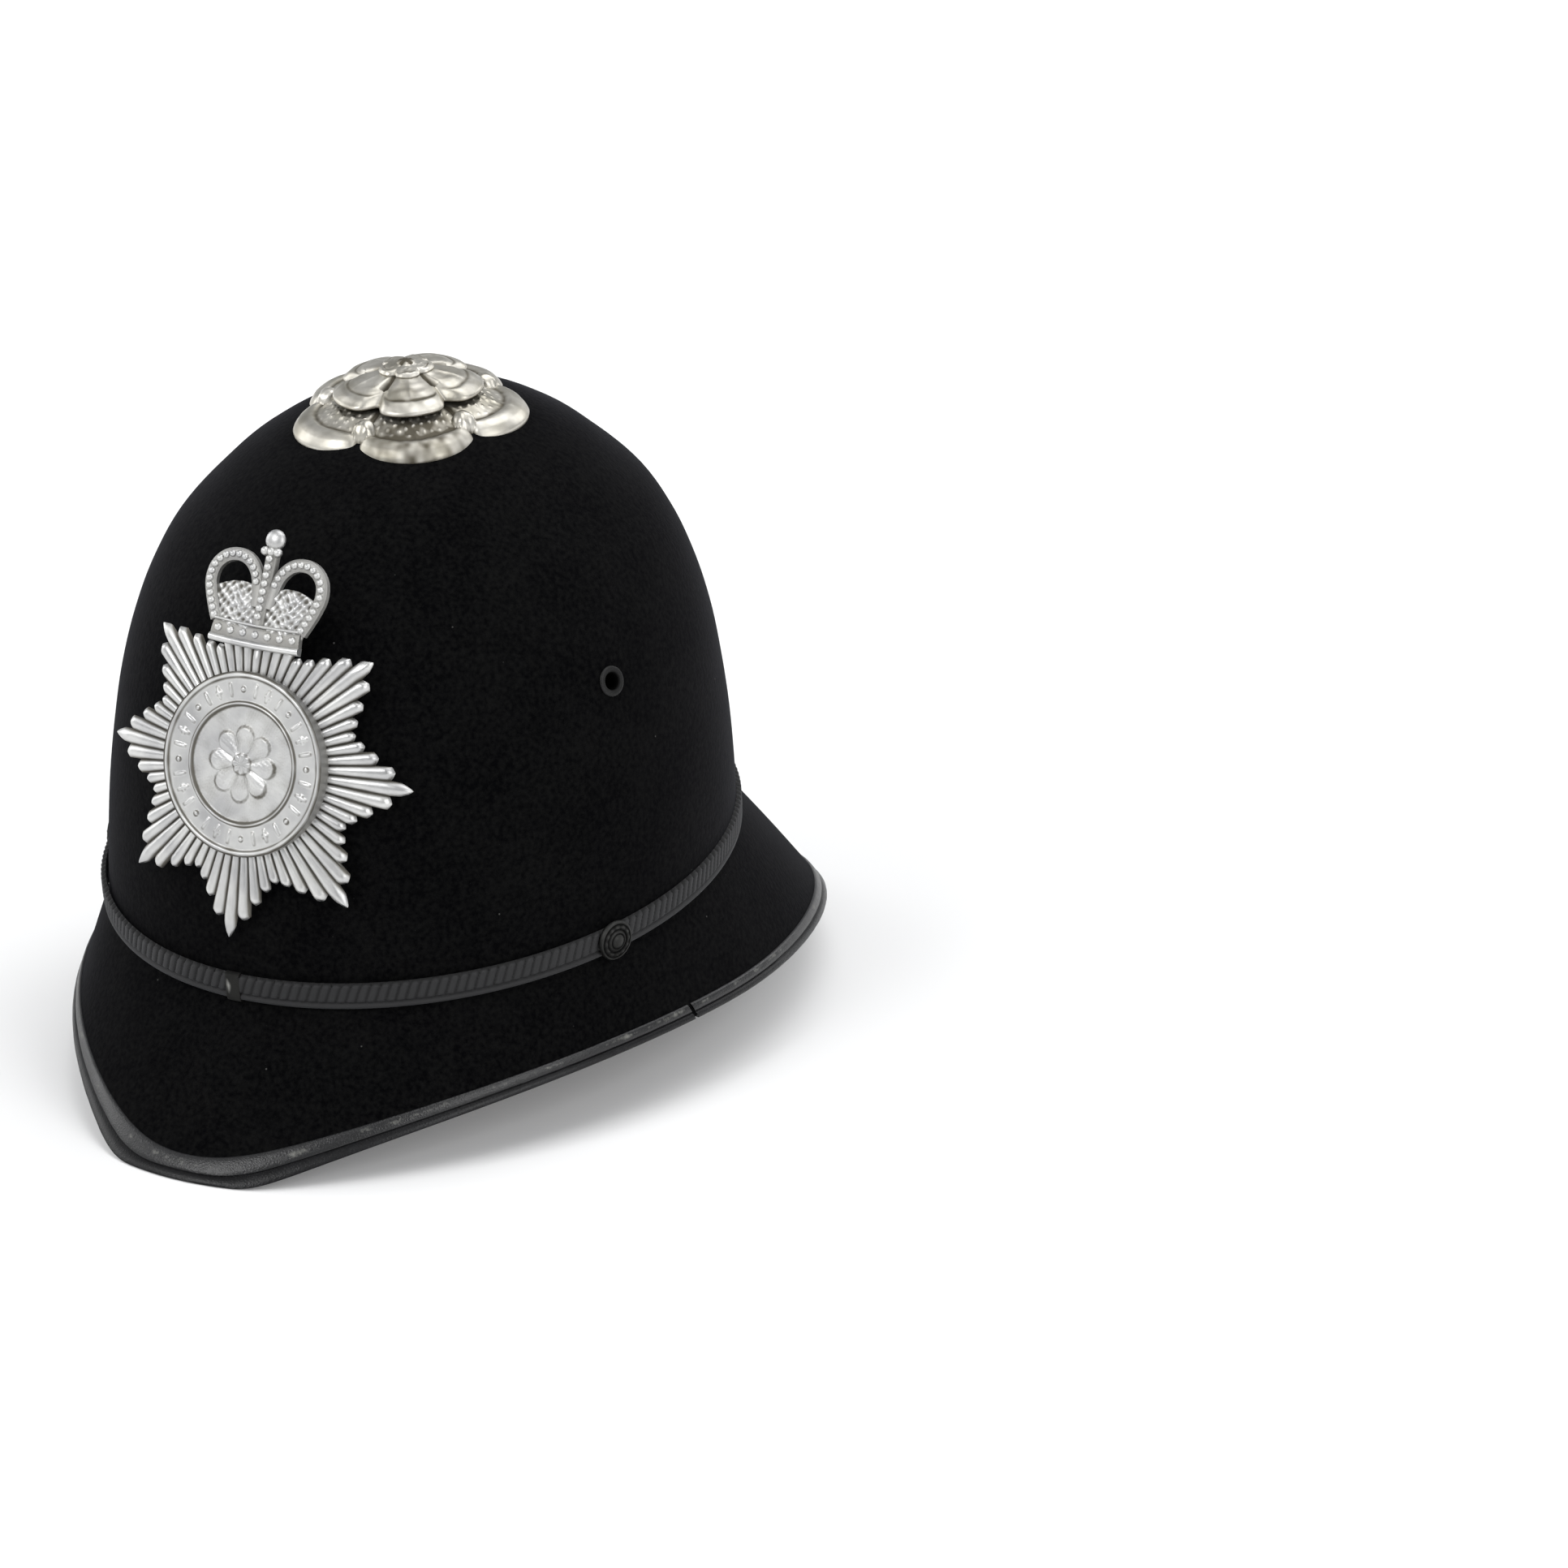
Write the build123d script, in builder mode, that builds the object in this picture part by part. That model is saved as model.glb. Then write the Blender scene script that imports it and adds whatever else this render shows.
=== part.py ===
from build123d import *
from math import asin, atan, cos, hypot, pi, radians, sin
import os

# Custodian helmet. Millimetres, +Z up, front towards -Y, the wearer's left towards +X.
# The origin is on the floor, under the middle of the brim.

# Dome, measured in planes parallel to the hat band
dome_length = 225.0
dome_width = 197.5
dome_height = 148.5
dome_centre_y = -15.5
dome_top_shift = 12.5
band_plane_height = 59.2
band_plane_tilt = 6.1
dome_rise_shares = (0, 0.06, 0.16, 0.27, 0.38, 0.49, 0.60, 0.70, 0.79, 0.87, 0.94, 1.0, 1.05)
dome_reach_shares = (1, 0.997, 0.988, 0.973, 0.950, 0.920, 0.874, 0.814, 0.735, 0.624, 0.506, 0.354, 0.14)
oval_fade_share = 0.9

# Brim, measured where it meets the floor
brim_length = 330.0
brim_width = 242.0
brim_widest_y = 23.0
brim_swell = 0.5
brim_drop_shares = (0, 0.5, 1, 1.1)
side_arch_height = 25.4
arch_peak_y = 0.0
rest_depth = 2.0
arch_shares = ((1, 0), (0.95, 0), (0.80, 1.12), (0.245, 1), (0, 1))

# Layers of the body
felt_thickness = 1.5
shell_thickness = 3.0
brim_lining_thickness = 0.8
brim_lining_drop = 4.0

# Edge binding
binding_thickness = 0.8
binding_depth = 5.4
binding_join_y = -28.0
binding_join_gap = 1.0

# Hat band and its keeper
band_height = 8.8
band_foot = 0.4
band_thickness = 2.0
band_edge_radius = 0.8
band_fit = 0.3
band_keeper_width = 6.0
band_keeper_thickness = 1.0

# Side buttons, which carry the chin strap
post_forward = 39.0
post_radius = 2.0
post_hole_clearance = 0.1
button_radius = 6.6
button_thickness = 3.2
button_round_share = 0.8
button_boss_radius = 4.6
button_stand_off = 1.8
side_washer_radius = 6.2
side_washer_thickness = 2.8
side_nut_width = 8.0
side_nut_thickness = 2.0
post_end = 0.8

# Vent eyelets
eyelet_forward = 18.5
eyelet_rise = 84.6
eyelet_flange_radius = 4.9
eyelet_flange_thickness = 0.9
eyelet_round_share = 0.6
eyelet_bore_radius = 2.6
eyelet_wall = 0.7
eyelet_fit = 0.1
eyelet_washer_radius = 6.0
eyelet_washer_thickness = 0.7

# Rose and the vent under it
vent_radius = 12.0
vent_collar_wall = 1.0
vent_collar_flange_radius = 14.0
vent_collar_flange_thickness = 0.8
vent_collar_depth = 9.0
vent_bridge_width = 6.0
vent_bridge_thickness = 2.0
rose_radius = 38.5
rose_petals = 5
rose_petal_radius = 21.0
rose_edge_thickness = 1.2
rose_shoulder_radius = 25.0
rose_shoulder_height = 8.0
rose_swell_share = 0.5
rose_waist_radius = 17.0
rose_waist_height = 9.2
rose_seat_share = 0.6
rose_slot = 1.4
rose_head_radius = 24.5
rose_head_petal_radius = 15.0
rose_head_edge = 1.6
rose_head_height = 6.4
rose_head_swell_shares = (0.68, 0.66)
rose_centre_radius = 9.0
rose_centre_height = 2.6
rose_centre_round_share = 0.9
stem_radius = 2.4
stem_fit = 0.1
stem_end = 2.0
stem_washer_radius = 6.0
stem_washer_thickness = 0.8
stem_nut_width = 8.0
stem_nut_thickness = 3.2

# Badge: a fluted star, a disc and a crown
badge_rise = 73.8
badge_wrap_radius = 165.0
star_tip_radius = 55.0
star_valley_radius = 38.5
star_rays = 8
flutes_per_ray = 8
star_narrowing = 1.5
flute_notch = 1.2
star_thickness = 1.2
flute_height = 0.7
flute_width = 2.0
disc_radius = 29.0
disc_rise = 1.2
disc_rim_width = 1.4
disc_rim_height = 0.7
disc_field_radius = 19.0
crown_base = 36.0
crown_seat = 2.0
crown_height = 31.0
crown_width = 45.0
crown_base_width = 31.0
crown_thickness = 2.6
crown_lean_back = 11.0
crown_band_height = 8.0
crown_band_flare = 4.0
crown_arch_thickness = 4.2
crown_cap_share = 0.62
crown_cap_width_share = 0.84
crown_arch_share = 0.72
finial_radius = 3.4
finial_stem_width = 5.0
lug_spread = 30.0
lug_radius = 1.6
lug_hole_radius = 0.8
lug_reach = 3.6
lug_fit = 0.1
badge_pin_length = 16.0
badge_pin_fit = 0.05

# Headband, pads and crown lining
sweatband_drop_in = 8.5
sweatband_thickness = 1.6
sweatband_foot = 13.0
sweatband_width = 37.0
pad_count = 8
pad_length = 26.0
pad_foot = 22.0
pad_width = 20.0
lining_thickness = 1.2
lining_gains = (0, 20.0, 44.0, 57.0)
lining_reach_shares = (1, 0.93, 0.64, 0.26)
lining_root_reach_share = 0.954
lining_root_inset = 0.2
tongue_count = 8
tongue_gap = 5.0
tongue_root = 72.0
lace_radius = 1.3
lace_ring_radius = 18.0
lace_opening_radius = 15.0

# Chin strap, hinged on the two posts
strap_width = 12.7
strap_thickness = 2.0
strap_side_gap = 0.3
strap_drop = 130.0
strap_shoulder = 8.0
strap_chin_width = 92.0
strap_chin_radius = 34.0
strap_shoulder_radius = 12.0
strap_floor_gap = 0.2
strap_eyelet_wall = 1.0
strap_hinge_fit = 0.06
buckle_place_share = 0.45
strap_tip_share = 0.14
buckle_length = 14.0
buckle_bar_radius = 1.1
buckle_side_gap = 0.5
strap_fold_radius = 2.9
strap_fold_slot = 3.0
strap_layer_gap = 0.15
tongue_radius = 0.8
tongue_overhang = 2.0
keeper_place_share = 0.28
keeper_width = 7.0
keeper_thickness = 1.0
strap_hole_radius = 1.3
strap_hole_pitch = 9.0
strap_hole_count = 3

cut_overrun = 30.0

os.makedirs("parts", exist_ok=True)


# Frames of reference: the band plane, and planes worked out from it
def tilted_plane(y, z, degrees_forward):
    """A plane across the helmet that leans its normal forward."""
    lean = radians(degrees_forward)
    return Plane(origin=(0, y, z), x_dir=(1, 0, 0), z_dir=(0, -sin(lean), cos(lean)))


band_plane = tilted_plane(dome_centre_y, band_plane_height, band_plane_tilt)
crown_plane = Plane(
    origin=band_plane.from_local_coords((0, dome_top_shift, dome_height)),
    x_dir=(1, 0, 0),
    z_dir=band_plane.z_dir,
)


# Filled forms that the layers are cut from
def dome_oval(rise_share, reach_share, inset):
    """Half width and half length of the dome's oval at one height."""
    mean = (dome_length + dome_width) / 4 * reach_share
    oval = (dome_length - dome_width) / 4 * (1 - oval_fade_share * rise_share)
    return mean - oval - inset, mean + oval - inset


def brim_oval(drop_share, inset):
    """The brim's half width and its reaches to front and rear, from the band plane to the floor."""
    swell = brim_swell * 4 * drop_share * (1 - drop_share)
    half_width = dome_width / 2 * (1 - drop_share) + brim_width / 2 * drop_share
    half_length = dome_length / 2 * (1 - drop_share) + brim_length / 2 * drop_share
    front_reach = half_length + brim_widest_y * drop_share
    rear_reach = half_length - brim_widest_y * drop_share
    return half_width + swell - inset, front_reach + swell - inset, rear_reach + swell - inset


def dome_form(inset):
    """The dome from the band plane up, drawn in all round by a given depth."""
    with BuildPart() as form:
        for rise_share, reach_share in zip(dome_rise_shares, dome_reach_shares):
            with BuildSketch(band_plane.offset(rise_share * (dome_height - inset))):
                with Locations((0, rise_share * dome_top_shift)):
                    Ellipse(*dome_oval(rise_share, reach_share, inset))
        loft()
    return form.part


def brim_form(inset):
    """The brim from the band plane to just under the floor, drawn in by a given depth."""
    with BuildPart() as form:
        for drop_share in brim_drop_shares:
            left = 1 - drop_share
            middle_y = dome_centre_y * left + brim_widest_y * drop_share
            half_width, front_reach, rear_reach = brim_oval(drop_share, inset)
            with BuildSketch(tilted_plane(middle_y, band_plane_height * left, band_plane_tilt * left)):
                with BuildLine():
                    EllipticalCenterArc((0, 0), half_width, front_reach, start_angle=180, arc_size=180)
                    EllipticalCenterArc((0, 0), half_width, rear_reach, arc_size=180)
                make_face()
        loft()
    return form.part


def helmet_form(inset):
    """Dome and brim as one filled form."""
    with BuildPart() as form:
        add(dome_form(inset))
        add(brim_form(inset))
    return form.part


def arch_point(side, reach_share, rise_share, lift):
    """A point of the brim's edge seen from the side, as shares of its half and of the arch."""
    reach = side * (brim_length / 2 - rest_depth) - arch_peak_y
    return (arch_peak_y + reach * reach_share, lift + side_arch_height * rise_share)


def under_arch(lift):
    """Everything below the brim's arched edge, raised by a given amount."""
    front_half = [arch_point(-1, *shares, lift) for shares in arch_shares]
    rear_half = [arch_point(1, *shares, lift) for shares in arch_shares]
    with BuildPart() as under:
        with BuildSketch(Plane.YZ):
            with BuildLine():
                Bezier(*front_half)
                Bezier(*rear_half)
                Polyline(
                    rear_half[0],
                    (brim_length, lift),
                    (brim_length, -cut_overrun),
                    (-brim_length, -cut_overrun),
                    (-brim_length, lift),
                    front_half[0],
                )
            make_face()
        extrude(amount=brim_width, both=True)
    return under.part


def band_slab(foot, height):
    """A thick plate parallel to the band plane, for cutting rings out of the forms."""
    with BuildPart() as slab:
        with BuildSketch(band_plane.offset(foot)):
            Rectangle(2 * brim_width, 2 * brim_length)
        extrude(amount=height)
    return slab.part


def wall_point(form, axis):
    """The last point where a line leaves a form, and the way the surface faces there."""
    hits = [hit for face in form.faces() for hit in face.find_intersection_points(axis)]
    point, normal = max(hits, key=lambda hit: (hit[0] - axis.position).dot(axis.direction))
    return point, (normal if normal.dot(axis.direction) > 0 else normal * -1)


felt_outside = helmet_form(0)
shell_outside = helmet_form(felt_thickness)
shell_inside = helmet_form(felt_thickness + shell_thickness)
lining_inset = felt_thickness + shell_thickness + brim_lining_thickness
trimmed_away = under_arch(binding_thickness)

# Places of the side buttons, the vent eyelets and the badge
post_point = band_plane.from_local_coords((0, -post_forward, band_height / 2))
post_plane = Plane(origin=post_point, x_dir=(0, 1, 0), z_dir=(1, 0, 0))
eyelet_point = band_plane.from_local_coords((0, -eyelet_forward, eyelet_rise))
eyelet_planes = []
for side in (1, -1):
    eyelet_spot, eyelet_normal = wall_point(felt_outside, Axis(eyelet_point, (side, 0, 0)))
    eyelet_planes.append(Plane(origin=eyelet_spot, x_dir=(0, 0, 1), z_dir=eyelet_normal))
badge_axis = Axis(band_plane.from_local_coords((0, 0, badge_rise)), -1 * band_plane.y_dir)
badge_spot, badge_normal = wall_point(felt_outside, badge_axis)
badge_plane = Plane(origin=badge_spot, x_dir=(1, 0, 0), z_dir=badge_normal)
lug_planes = []
for side in (1, -1):
    lug_spot = badge_plane.from_local_coords((side * lug_spread, 0, 0))
    lug_planes.append(Plane(origin=lug_spot, x_dir=(1, 0, 0), z_dir=badge_normal))


def depth_behind(plane):
    """How far behind a plane's origin the shell's inner face lies."""
    start = plane.from_local_coords((0, 0, -cut_overrun))
    inner_point = wall_point(shell_inside, Axis(start, plane.z_dir))[0]
    return -plane.to_local_coords(inner_point).Z


def bored_body(form_outside, form_inside):
    """One layer of the body: trimmed at the brim and bored for the fittings."""
    with BuildPart() as layer:
        add(form_outside)
        add(form_inside, mode=Mode.SUBTRACT)
        add(trimmed_away, mode=Mode.SUBTRACT)
        with Locations(post_plane):
            Cylinder(post_radius + post_hole_clearance, 2 * brim_width, mode=Mode.SUBTRACT)
        with Locations(crown_plane):
            Cylinder(vent_radius, 2 * cut_overrun, mode=Mode.SUBTRACT)
        with Locations(*eyelet_planes):
            Cylinder(eyelet_bore_radius + eyelet_wall + eyelet_fit, cut_overrun, mode=Mode.SUBTRACT)
        with Locations(*lug_planes):
            Cylinder(lug_radius + lug_fit, 2 * cut_overrun, mode=Mode.SUBTRACT)
    return layer.part


with BuildPart() as felt_cover:
    add(bored_body(felt_outside, shell_outside))

with BuildPart() as shell:
    add(bored_body(shell_outside, shell_inside))

with BuildPart() as brim_lining:
    add(brim_form(lining_inset - brim_lining_thickness))
    add(brim_form(lining_inset), mode=Mode.SUBTRACT)
    add(trimmed_away, mode=Mode.SUBTRACT)
    split(bisect_by=band_plane.offset(-brim_lining_drop), keep=Keep.BOTTOM)

# Edge binding: a strip folded over felt, shell and lining, joined at each side
with BuildPart() as brim_edge:
    add(brim_form(0))
    add(brim_form(lining_inset), mode=Mode.SUBTRACT)
    add(trimmed_away, mode=Mode.SUBTRACT)

with BuildPart() as binding_ring:
    add(brim_form(-binding_thickness))
    add(brim_form(lining_inset + binding_thickness), mode=Mode.SUBTRACT)
    add(under_arch(0), mode=Mode.SUBTRACT)
    add(under_arch(binding_depth), mode=Mode.INTERSECT)
    add(brim_edge.part, mode=Mode.SUBTRACT)

join_plane = Plane.XZ.offset(-binding_join_y)
with BuildPart() as front_edge_binding:
    add(binding_ring.part)
    split(bisect_by=join_plane.offset(binding_join_gap / 2), keep=Keep.TOP)

with BuildPart() as rear_edge_binding:
    add(binding_ring.part)
    split(bisect_by=join_plane.offset(-binding_join_gap / 2), keep=Keep.BOTTOM)

# Hat band round the foot of the dome
band_half_width, band_half_length = dome_oval(0, 1, -band_thickness)
with BuildPart() as hat_band:
    with BuildSketch(band_plane.offset(band_foot)):
        Ellipse(band_half_width, band_half_length)
    extrude(amount=band_height)
    fillet(hat_band.edges(), radius=band_edge_radius)
    with BuildSketch(band_plane):
        Ellipse(*dome_oval(0, 1, -band_fit))
    extrude(amount=2 * band_height, mode=Mode.SUBTRACT)
    with Locations(post_plane):
        Cylinder(post_radius + post_hole_clearance, 2 * brim_width, mode=Mode.SUBTRACT)

with BuildPart() as band_keeper:
    with BuildSketch(band_plane.offset(-band_keeper_thickness)):
        with Locations((0, -band_half_length)):
            Rectangle(band_keeper_width, 2 * (band_thickness + band_keeper_thickness))
    extrude(amount=band_height + 2 * band_keeper_thickness)
    fillet(band_keeper.edges().filter_by(Axis.X), radius=band_keeper_thickness)
    add(felt_outside, mode=Mode.SUBTRACT)
    add(hat_band.part, mode=Mode.SUBTRACT)

# Side buttons and the hardware on their posts
wall_outer_x = wall_point(felt_outside, Axis(post_point, (1, 0, 0)))[0].X
wall_inner_x = wall_point(shell_inside, Axis(post_point, (1, 0, 0)))[0].X
button_back_x = wall_outer_x + band_thickness + button_stand_off
washer_face_x = wall_inner_x - button_stand_off - side_washer_thickness
strap_outer_x = washer_face_x - strap_side_gap
strap_inner_x = strap_outer_x - strap_thickness
nut_face_x = strap_inner_x - strap_side_gap
post_tip_x = nut_face_x - side_nut_thickness - post_end


def side_plane(side, x):
    """A plane on the post's line, facing outwards from the middle of the helmet."""
    return Plane(origin=(side * x, post_point.Y, post_point.Z), x_dir=(0, 1, 0), z_dir=(side, 0, 0))


def side_button(side):
    """Rosette, boss and post in one piece. The boss is cut to the band that it sits on."""
    with BuildPart() as button:
        with BuildSketch(side_plane(side, wall_outer_x)):
            Circle(button_boss_radius)
        extrude(amount=button_back_x - wall_outer_x)
        add(felt_outside, mode=Mode.SUBTRACT)
        add(hat_band.part, mode=Mode.SUBTRACT)
        with BuildSketch(side_plane(side, button_back_x)):
            Circle(button_radius)
        extrude(amount=button_thickness)
        fillet(
            button.faces().sort_by(Axis((0, 0, 0), (side, 0, 0)))[-1].edges(),
            radius=button_thickness * button_round_share,
        )
        with BuildSketch(side_plane(side, post_tip_x)):
            Circle(post_radius)
        extrude(amount=button_back_x - post_tip_x)
    return button.part


def side_washer(side):
    """A wedge washer: flat towards the strap, shaped to the wall behind it."""
    with BuildPart() as washer:
        with BuildSketch(side_plane(side, washer_face_x)):
            Circle(side_washer_radius)
            Circle(post_radius + post_hole_clearance, mode=Mode.SUBTRACT)
        extrude(amount=cut_overrun)
        add(shell_inside, mode=Mode.INTERSECT)
    return washer.part


def side_nut(side):
    """Hexagon nut on the end of the post."""
    with BuildPart() as nut:
        with BuildSketch(side_plane(side, nut_face_x - side_nut_thickness)):
            RegularPolygon(side_nut_width / 2, 6, major_radius=False)
            Circle(post_radius, mode=Mode.SUBTRACT)
        extrude(amount=side_nut_thickness)
    return nut.part


def vent_eyelet(plane):
    """A flanged barrel pressed through the wall, with a rounded flange."""
    with BuildPart() as eyelet:
        with BuildSketch(plane.offset(-eyelet_flange_thickness)):
            Circle(eyelet_flange_radius)
        extrude(amount=2 * eyelet_flange_thickness)
        fillet(eyelet.edges().filter_by(GeomType.CIRCLE), radius=eyelet_flange_thickness * eyelet_round_share)
        add(felt_outside, mode=Mode.SUBTRACT)
        barrel_depth = depth_behind(plane) + 2 * eyelet_washer_thickness
        with BuildSketch(plane.offset(-barrel_depth)):
            Circle(eyelet_bore_radius + eyelet_wall)
        extrude(amount=barrel_depth + eyelet_flange_thickness / 2)
        with BuildSketch(plane.offset(-cut_overrun)):
            Circle(eyelet_bore_radius)
        extrude(amount=2 * cut_overrun, mode=Mode.SUBTRACT)
    return eyelet.part


def eyelet_washer(plane):
    """The ring that the barrel is spread over inside the shell."""
    with BuildPart() as washer:
        with BuildSketch(plane.offset(-depth_behind(plane) - eyelet_washer_thickness)):
            Circle(eyelet_washer_radius)
            Circle(eyelet_bore_radius + eyelet_wall, mode=Mode.SUBTRACT)
        extrude(amount=cut_overrun)
        add(shell_inside, mode=Mode.INTERSECT)
    return washer.part


# Vent collar, rose and their fixings, all on the crown's axis
crown_top = (dome_rise_shares[-1] - 1) * dome_height


def crown_level(height):
    """A plane square to the dome's axis, measured up from the rose's foot."""
    return crown_plane.offset(height)


collar_foot = crown_top - vent_collar_depth
with BuildPart() as vent_collar:
    with BuildSketch(crown_level(collar_foot)):
        Circle(vent_radius - post_hole_clearance)
        Circle(vent_radius - post_hole_clearance - vent_collar_wall, mode=Mode.SUBTRACT)
    extrude(amount=vent_collar_depth)
    with BuildSketch(crown_level(crown_top)):
        Circle(vent_collar_flange_radius)
        Circle(vent_radius - post_hole_clearance - vent_collar_wall, mode=Mode.SUBTRACT)
    extrude(amount=vent_collar_flange_thickness)
    with BuildSketch(crown_level(collar_foot)):
        Rectangle(2 * vent_radius - vent_collar_wall, vent_bridge_width)
    extrude(amount=vent_bridge_thickness)
    with BuildSketch(crown_level(collar_foot)):
        Circle(stem_radius + stem_fit)
    extrude(amount=vent_bridge_thickness, mode=Mode.SUBTRACT)


def petal_outline(reach, petal_radius):
    """A ring of overlapping round petals, one of them straight back."""
    with BuildSketch() as outline:
        with PolarLocations(reach - petal_radius, rose_petals, start_angle=90):
            Circle(petal_radius)
        Circle(reach - petal_radius)
    return outline.sketch


def petalled(plane, reach, petal_radius, depth, height):
    """The petals' outline as a block, for trimming a turned form."""
    with BuildPart() as block:
        with BuildSketch(plane.offset(-depth)):
            add(petal_outline(reach, petal_radius))
        extrude(amount=depth + height)
    return block.part


rose_section = Plane(origin=crown_plane.origin, x_dir=(1, 0, 0), z_dir=-1 * crown_plane.y_dir)
rose_axis = Axis(crown_plane.origin, crown_plane.z_dir)
with BuildPart() as rose_flange:
    with BuildSketch(rose_section):
        with BuildLine():
            Polyline(
                (rose_shoulder_radius, rose_shoulder_height),
                (rose_waist_radius, rose_waist_height),
                (stem_radius + stem_fit, rose_waist_height),
                (stem_radius + stem_fit, crown_top + vent_collar_flange_thickness),
                (vent_collar_flange_radius, crown_top + vent_collar_flange_thickness),
                (vent_collar_flange_radius, -rose_edge_thickness),
                (rose_radius, -rose_edge_thickness),
                (rose_radius, rose_edge_thickness),
            )
            ThreePointArc(
                (rose_radius, rose_edge_thickness),
                (
                    (rose_radius + rose_shoulder_radius) / 2,
                    rose_shoulder_height * rose_swell_share + rose_edge_thickness,
                ),
                (rose_shoulder_radius, rose_shoulder_height),
            )
        make_face()
    revolve(axis=rose_axis)
    add(petalled(crown_plane, rose_radius, rose_petal_radius, cut_overrun, cut_overrun), mode=Mode.INTERSECT)
    add(felt_outside, mode=Mode.SUBTRACT)

rose_head_foot = rose_waist_height + rose_slot
with BuildPart() as rose_head:
    with BuildSketch(rose_section):
        with BuildLine():
            Polyline(
                (rose_head_radius, rose_head_foot - rose_slot),
                (rose_waist_radius, rose_waist_height + rose_slot / 2),
                (rose_waist_radius * rose_seat_share, rose_waist_height),
                (stem_radius, rose_waist_height),
                (stem_radius, rose_head_foot + rose_head_height),
            )
            Line(
                (rose_head_radius, rose_head_foot - rose_slot),
                (rose_head_radius, rose_head_foot - rose_slot + rose_head_edge),
            )
            ThreePointArc(
                (rose_head_radius, rose_head_foot - rose_slot + rose_head_edge),
                (
                    rose_head_radius * rose_head_swell_shares[0],
                    rose_head_foot + rose_head_height * rose_head_swell_shares[1],
                ),
                (stem_radius, rose_head_foot + rose_head_height),
            )
        make_face()
    revolve(axis=rose_axis)
    add(
        petalled(crown_plane, rose_head_radius, rose_head_petal_radius, cut_overrun, cut_overrun),
        mode=Mode.INTERSECT,
    )

with BuildPart() as rose_centre:
    with BuildSketch(crown_level(rose_head_foot)):
        Circle(rose_centre_radius)
    extrude(amount=rose_head_height + rose_centre_height)
    fillet(
        rose_centre.edges().group_by(rose_axis)[-1],
        radius=rose_centre_height * rose_centre_round_share,
    )
    add(rose_head.part, mode=Mode.SUBTRACT)
    with BuildSketch(crown_level(0)):
        Circle(stem_radius)
    extrude(amount=rose_head_foot + rose_head_height, mode=Mode.SUBTRACT)

stem_foot = collar_foot - stem_washer_thickness - stem_nut_thickness - stem_end
with BuildPart() as rose_stem:
    with BuildSketch(crown_level(stem_foot)):
        Circle(stem_radius)
    extrude(amount=rose_head_foot + rose_head_height - stem_foot)

with BuildPart() as stem_washer:
    with BuildSketch(crown_level(collar_foot - stem_washer_thickness)):
        Circle(stem_washer_radius)
        Circle(stem_radius + stem_fit, mode=Mode.SUBTRACT)
    extrude(amount=stem_washer_thickness)

with BuildPart() as stem_nut:
    with BuildSketch(crown_level(collar_foot - stem_washer_thickness - stem_nut_thickness)):
        RegularPolygon(stem_nut_width / 2, 6, major_radius=False)
        Circle(stem_radius, mode=Mode.SUBTRACT)
    extrude(amount=stem_nut_thickness)


# Badge: a star bent round the dome, a disc and a crown on it
def wrapped_skin(foot, height):
    """A slice of a large upright cylinder, to bend flat outlines round the dome."""
    wrap_plane = Plane(origin=badge_plane.origin, x_dir=badge_plane.x_dir, z_dir=badge_plane.y_dir)
    with BuildPart() as skin:
        with BuildSketch(wrap_plane):
            with Locations((0, badge_wrap_radius)):
                Circle(badge_wrap_radius + foot + height)
                Circle(badge_wrap_radius + foot, mode=Mode.SUBTRACT)
        extrude(amount=2 * star_tip_radius, both=True)
    return skin.part


def star_reach(turn):
    """Length of the star's flutes: long at each ray, short between rays."""
    sector = 2 * pi / star_rays
    off_ray = abs((turn / sector + 0.5) % 1 - 0.5) * 2
    return star_valley_radius + (star_tip_radius - star_valley_radius) * (1 - off_ray) ** star_narrowing


flute_count = star_rays * flutes_per_ray
flute_turns = [2 * pi * number / flute_count for number in range(flute_count)]
star_points = []
for turn in flute_turns:
    notch_turn = turn + pi / flute_count
    notch_reach = min(star_reach(turn), star_reach(turn + 2 * pi / flute_count)) - flute_notch
    star_points.append((star_reach(turn) * cos(turn), star_reach(turn) * sin(turn)))
    star_points.append((notch_reach * cos(notch_turn), notch_reach * sin(notch_turn)))

with BuildPart() as star_plate:
    with BuildSketch(badge_plane):
        with BuildLine():
            Polyline(*star_points, close=True)
        make_face()
    extrude(amount=cut_overrun, both=True)
    add(wrapped_skin(0, star_thickness), mode=Mode.INTERSECT)

with BuildPart() as star_flutes:
    with BuildSketch(badge_plane):
        for turn in flute_turns:
            tip = star_reach(turn) - flute_notch
            root = disc_radius - disc_rim_width
            across = flute_width / 2
            with BuildLine():
                Polyline(
                    (root * cos(turn) + across * sin(turn), root * sin(turn) - across * cos(turn)),
                    (tip * cos(turn), tip * sin(turn)),
                    (root * cos(turn) - across * sin(turn), root * sin(turn) + across * cos(turn)),
                    close=True,
                )
            make_face()
    extrude(amount=cut_overrun, both=True)
    add(wrapped_skin(0, star_thickness + flute_height), mode=Mode.INTERSECT)

crown_seat_plane = Plane(
    origin=badge_plane.from_local_coords((0, crown_base + crown_seat, 0)),
    x_dir=(1, 0, 0),
    z_dir=badge_plane.y_dir,
)
with BuildPart() as badge_star:
    add(star_plate.part)
    add(star_flutes.part)
    split(bisect_by=crown_seat_plane, keep=Keep.BOTTOM)

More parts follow.
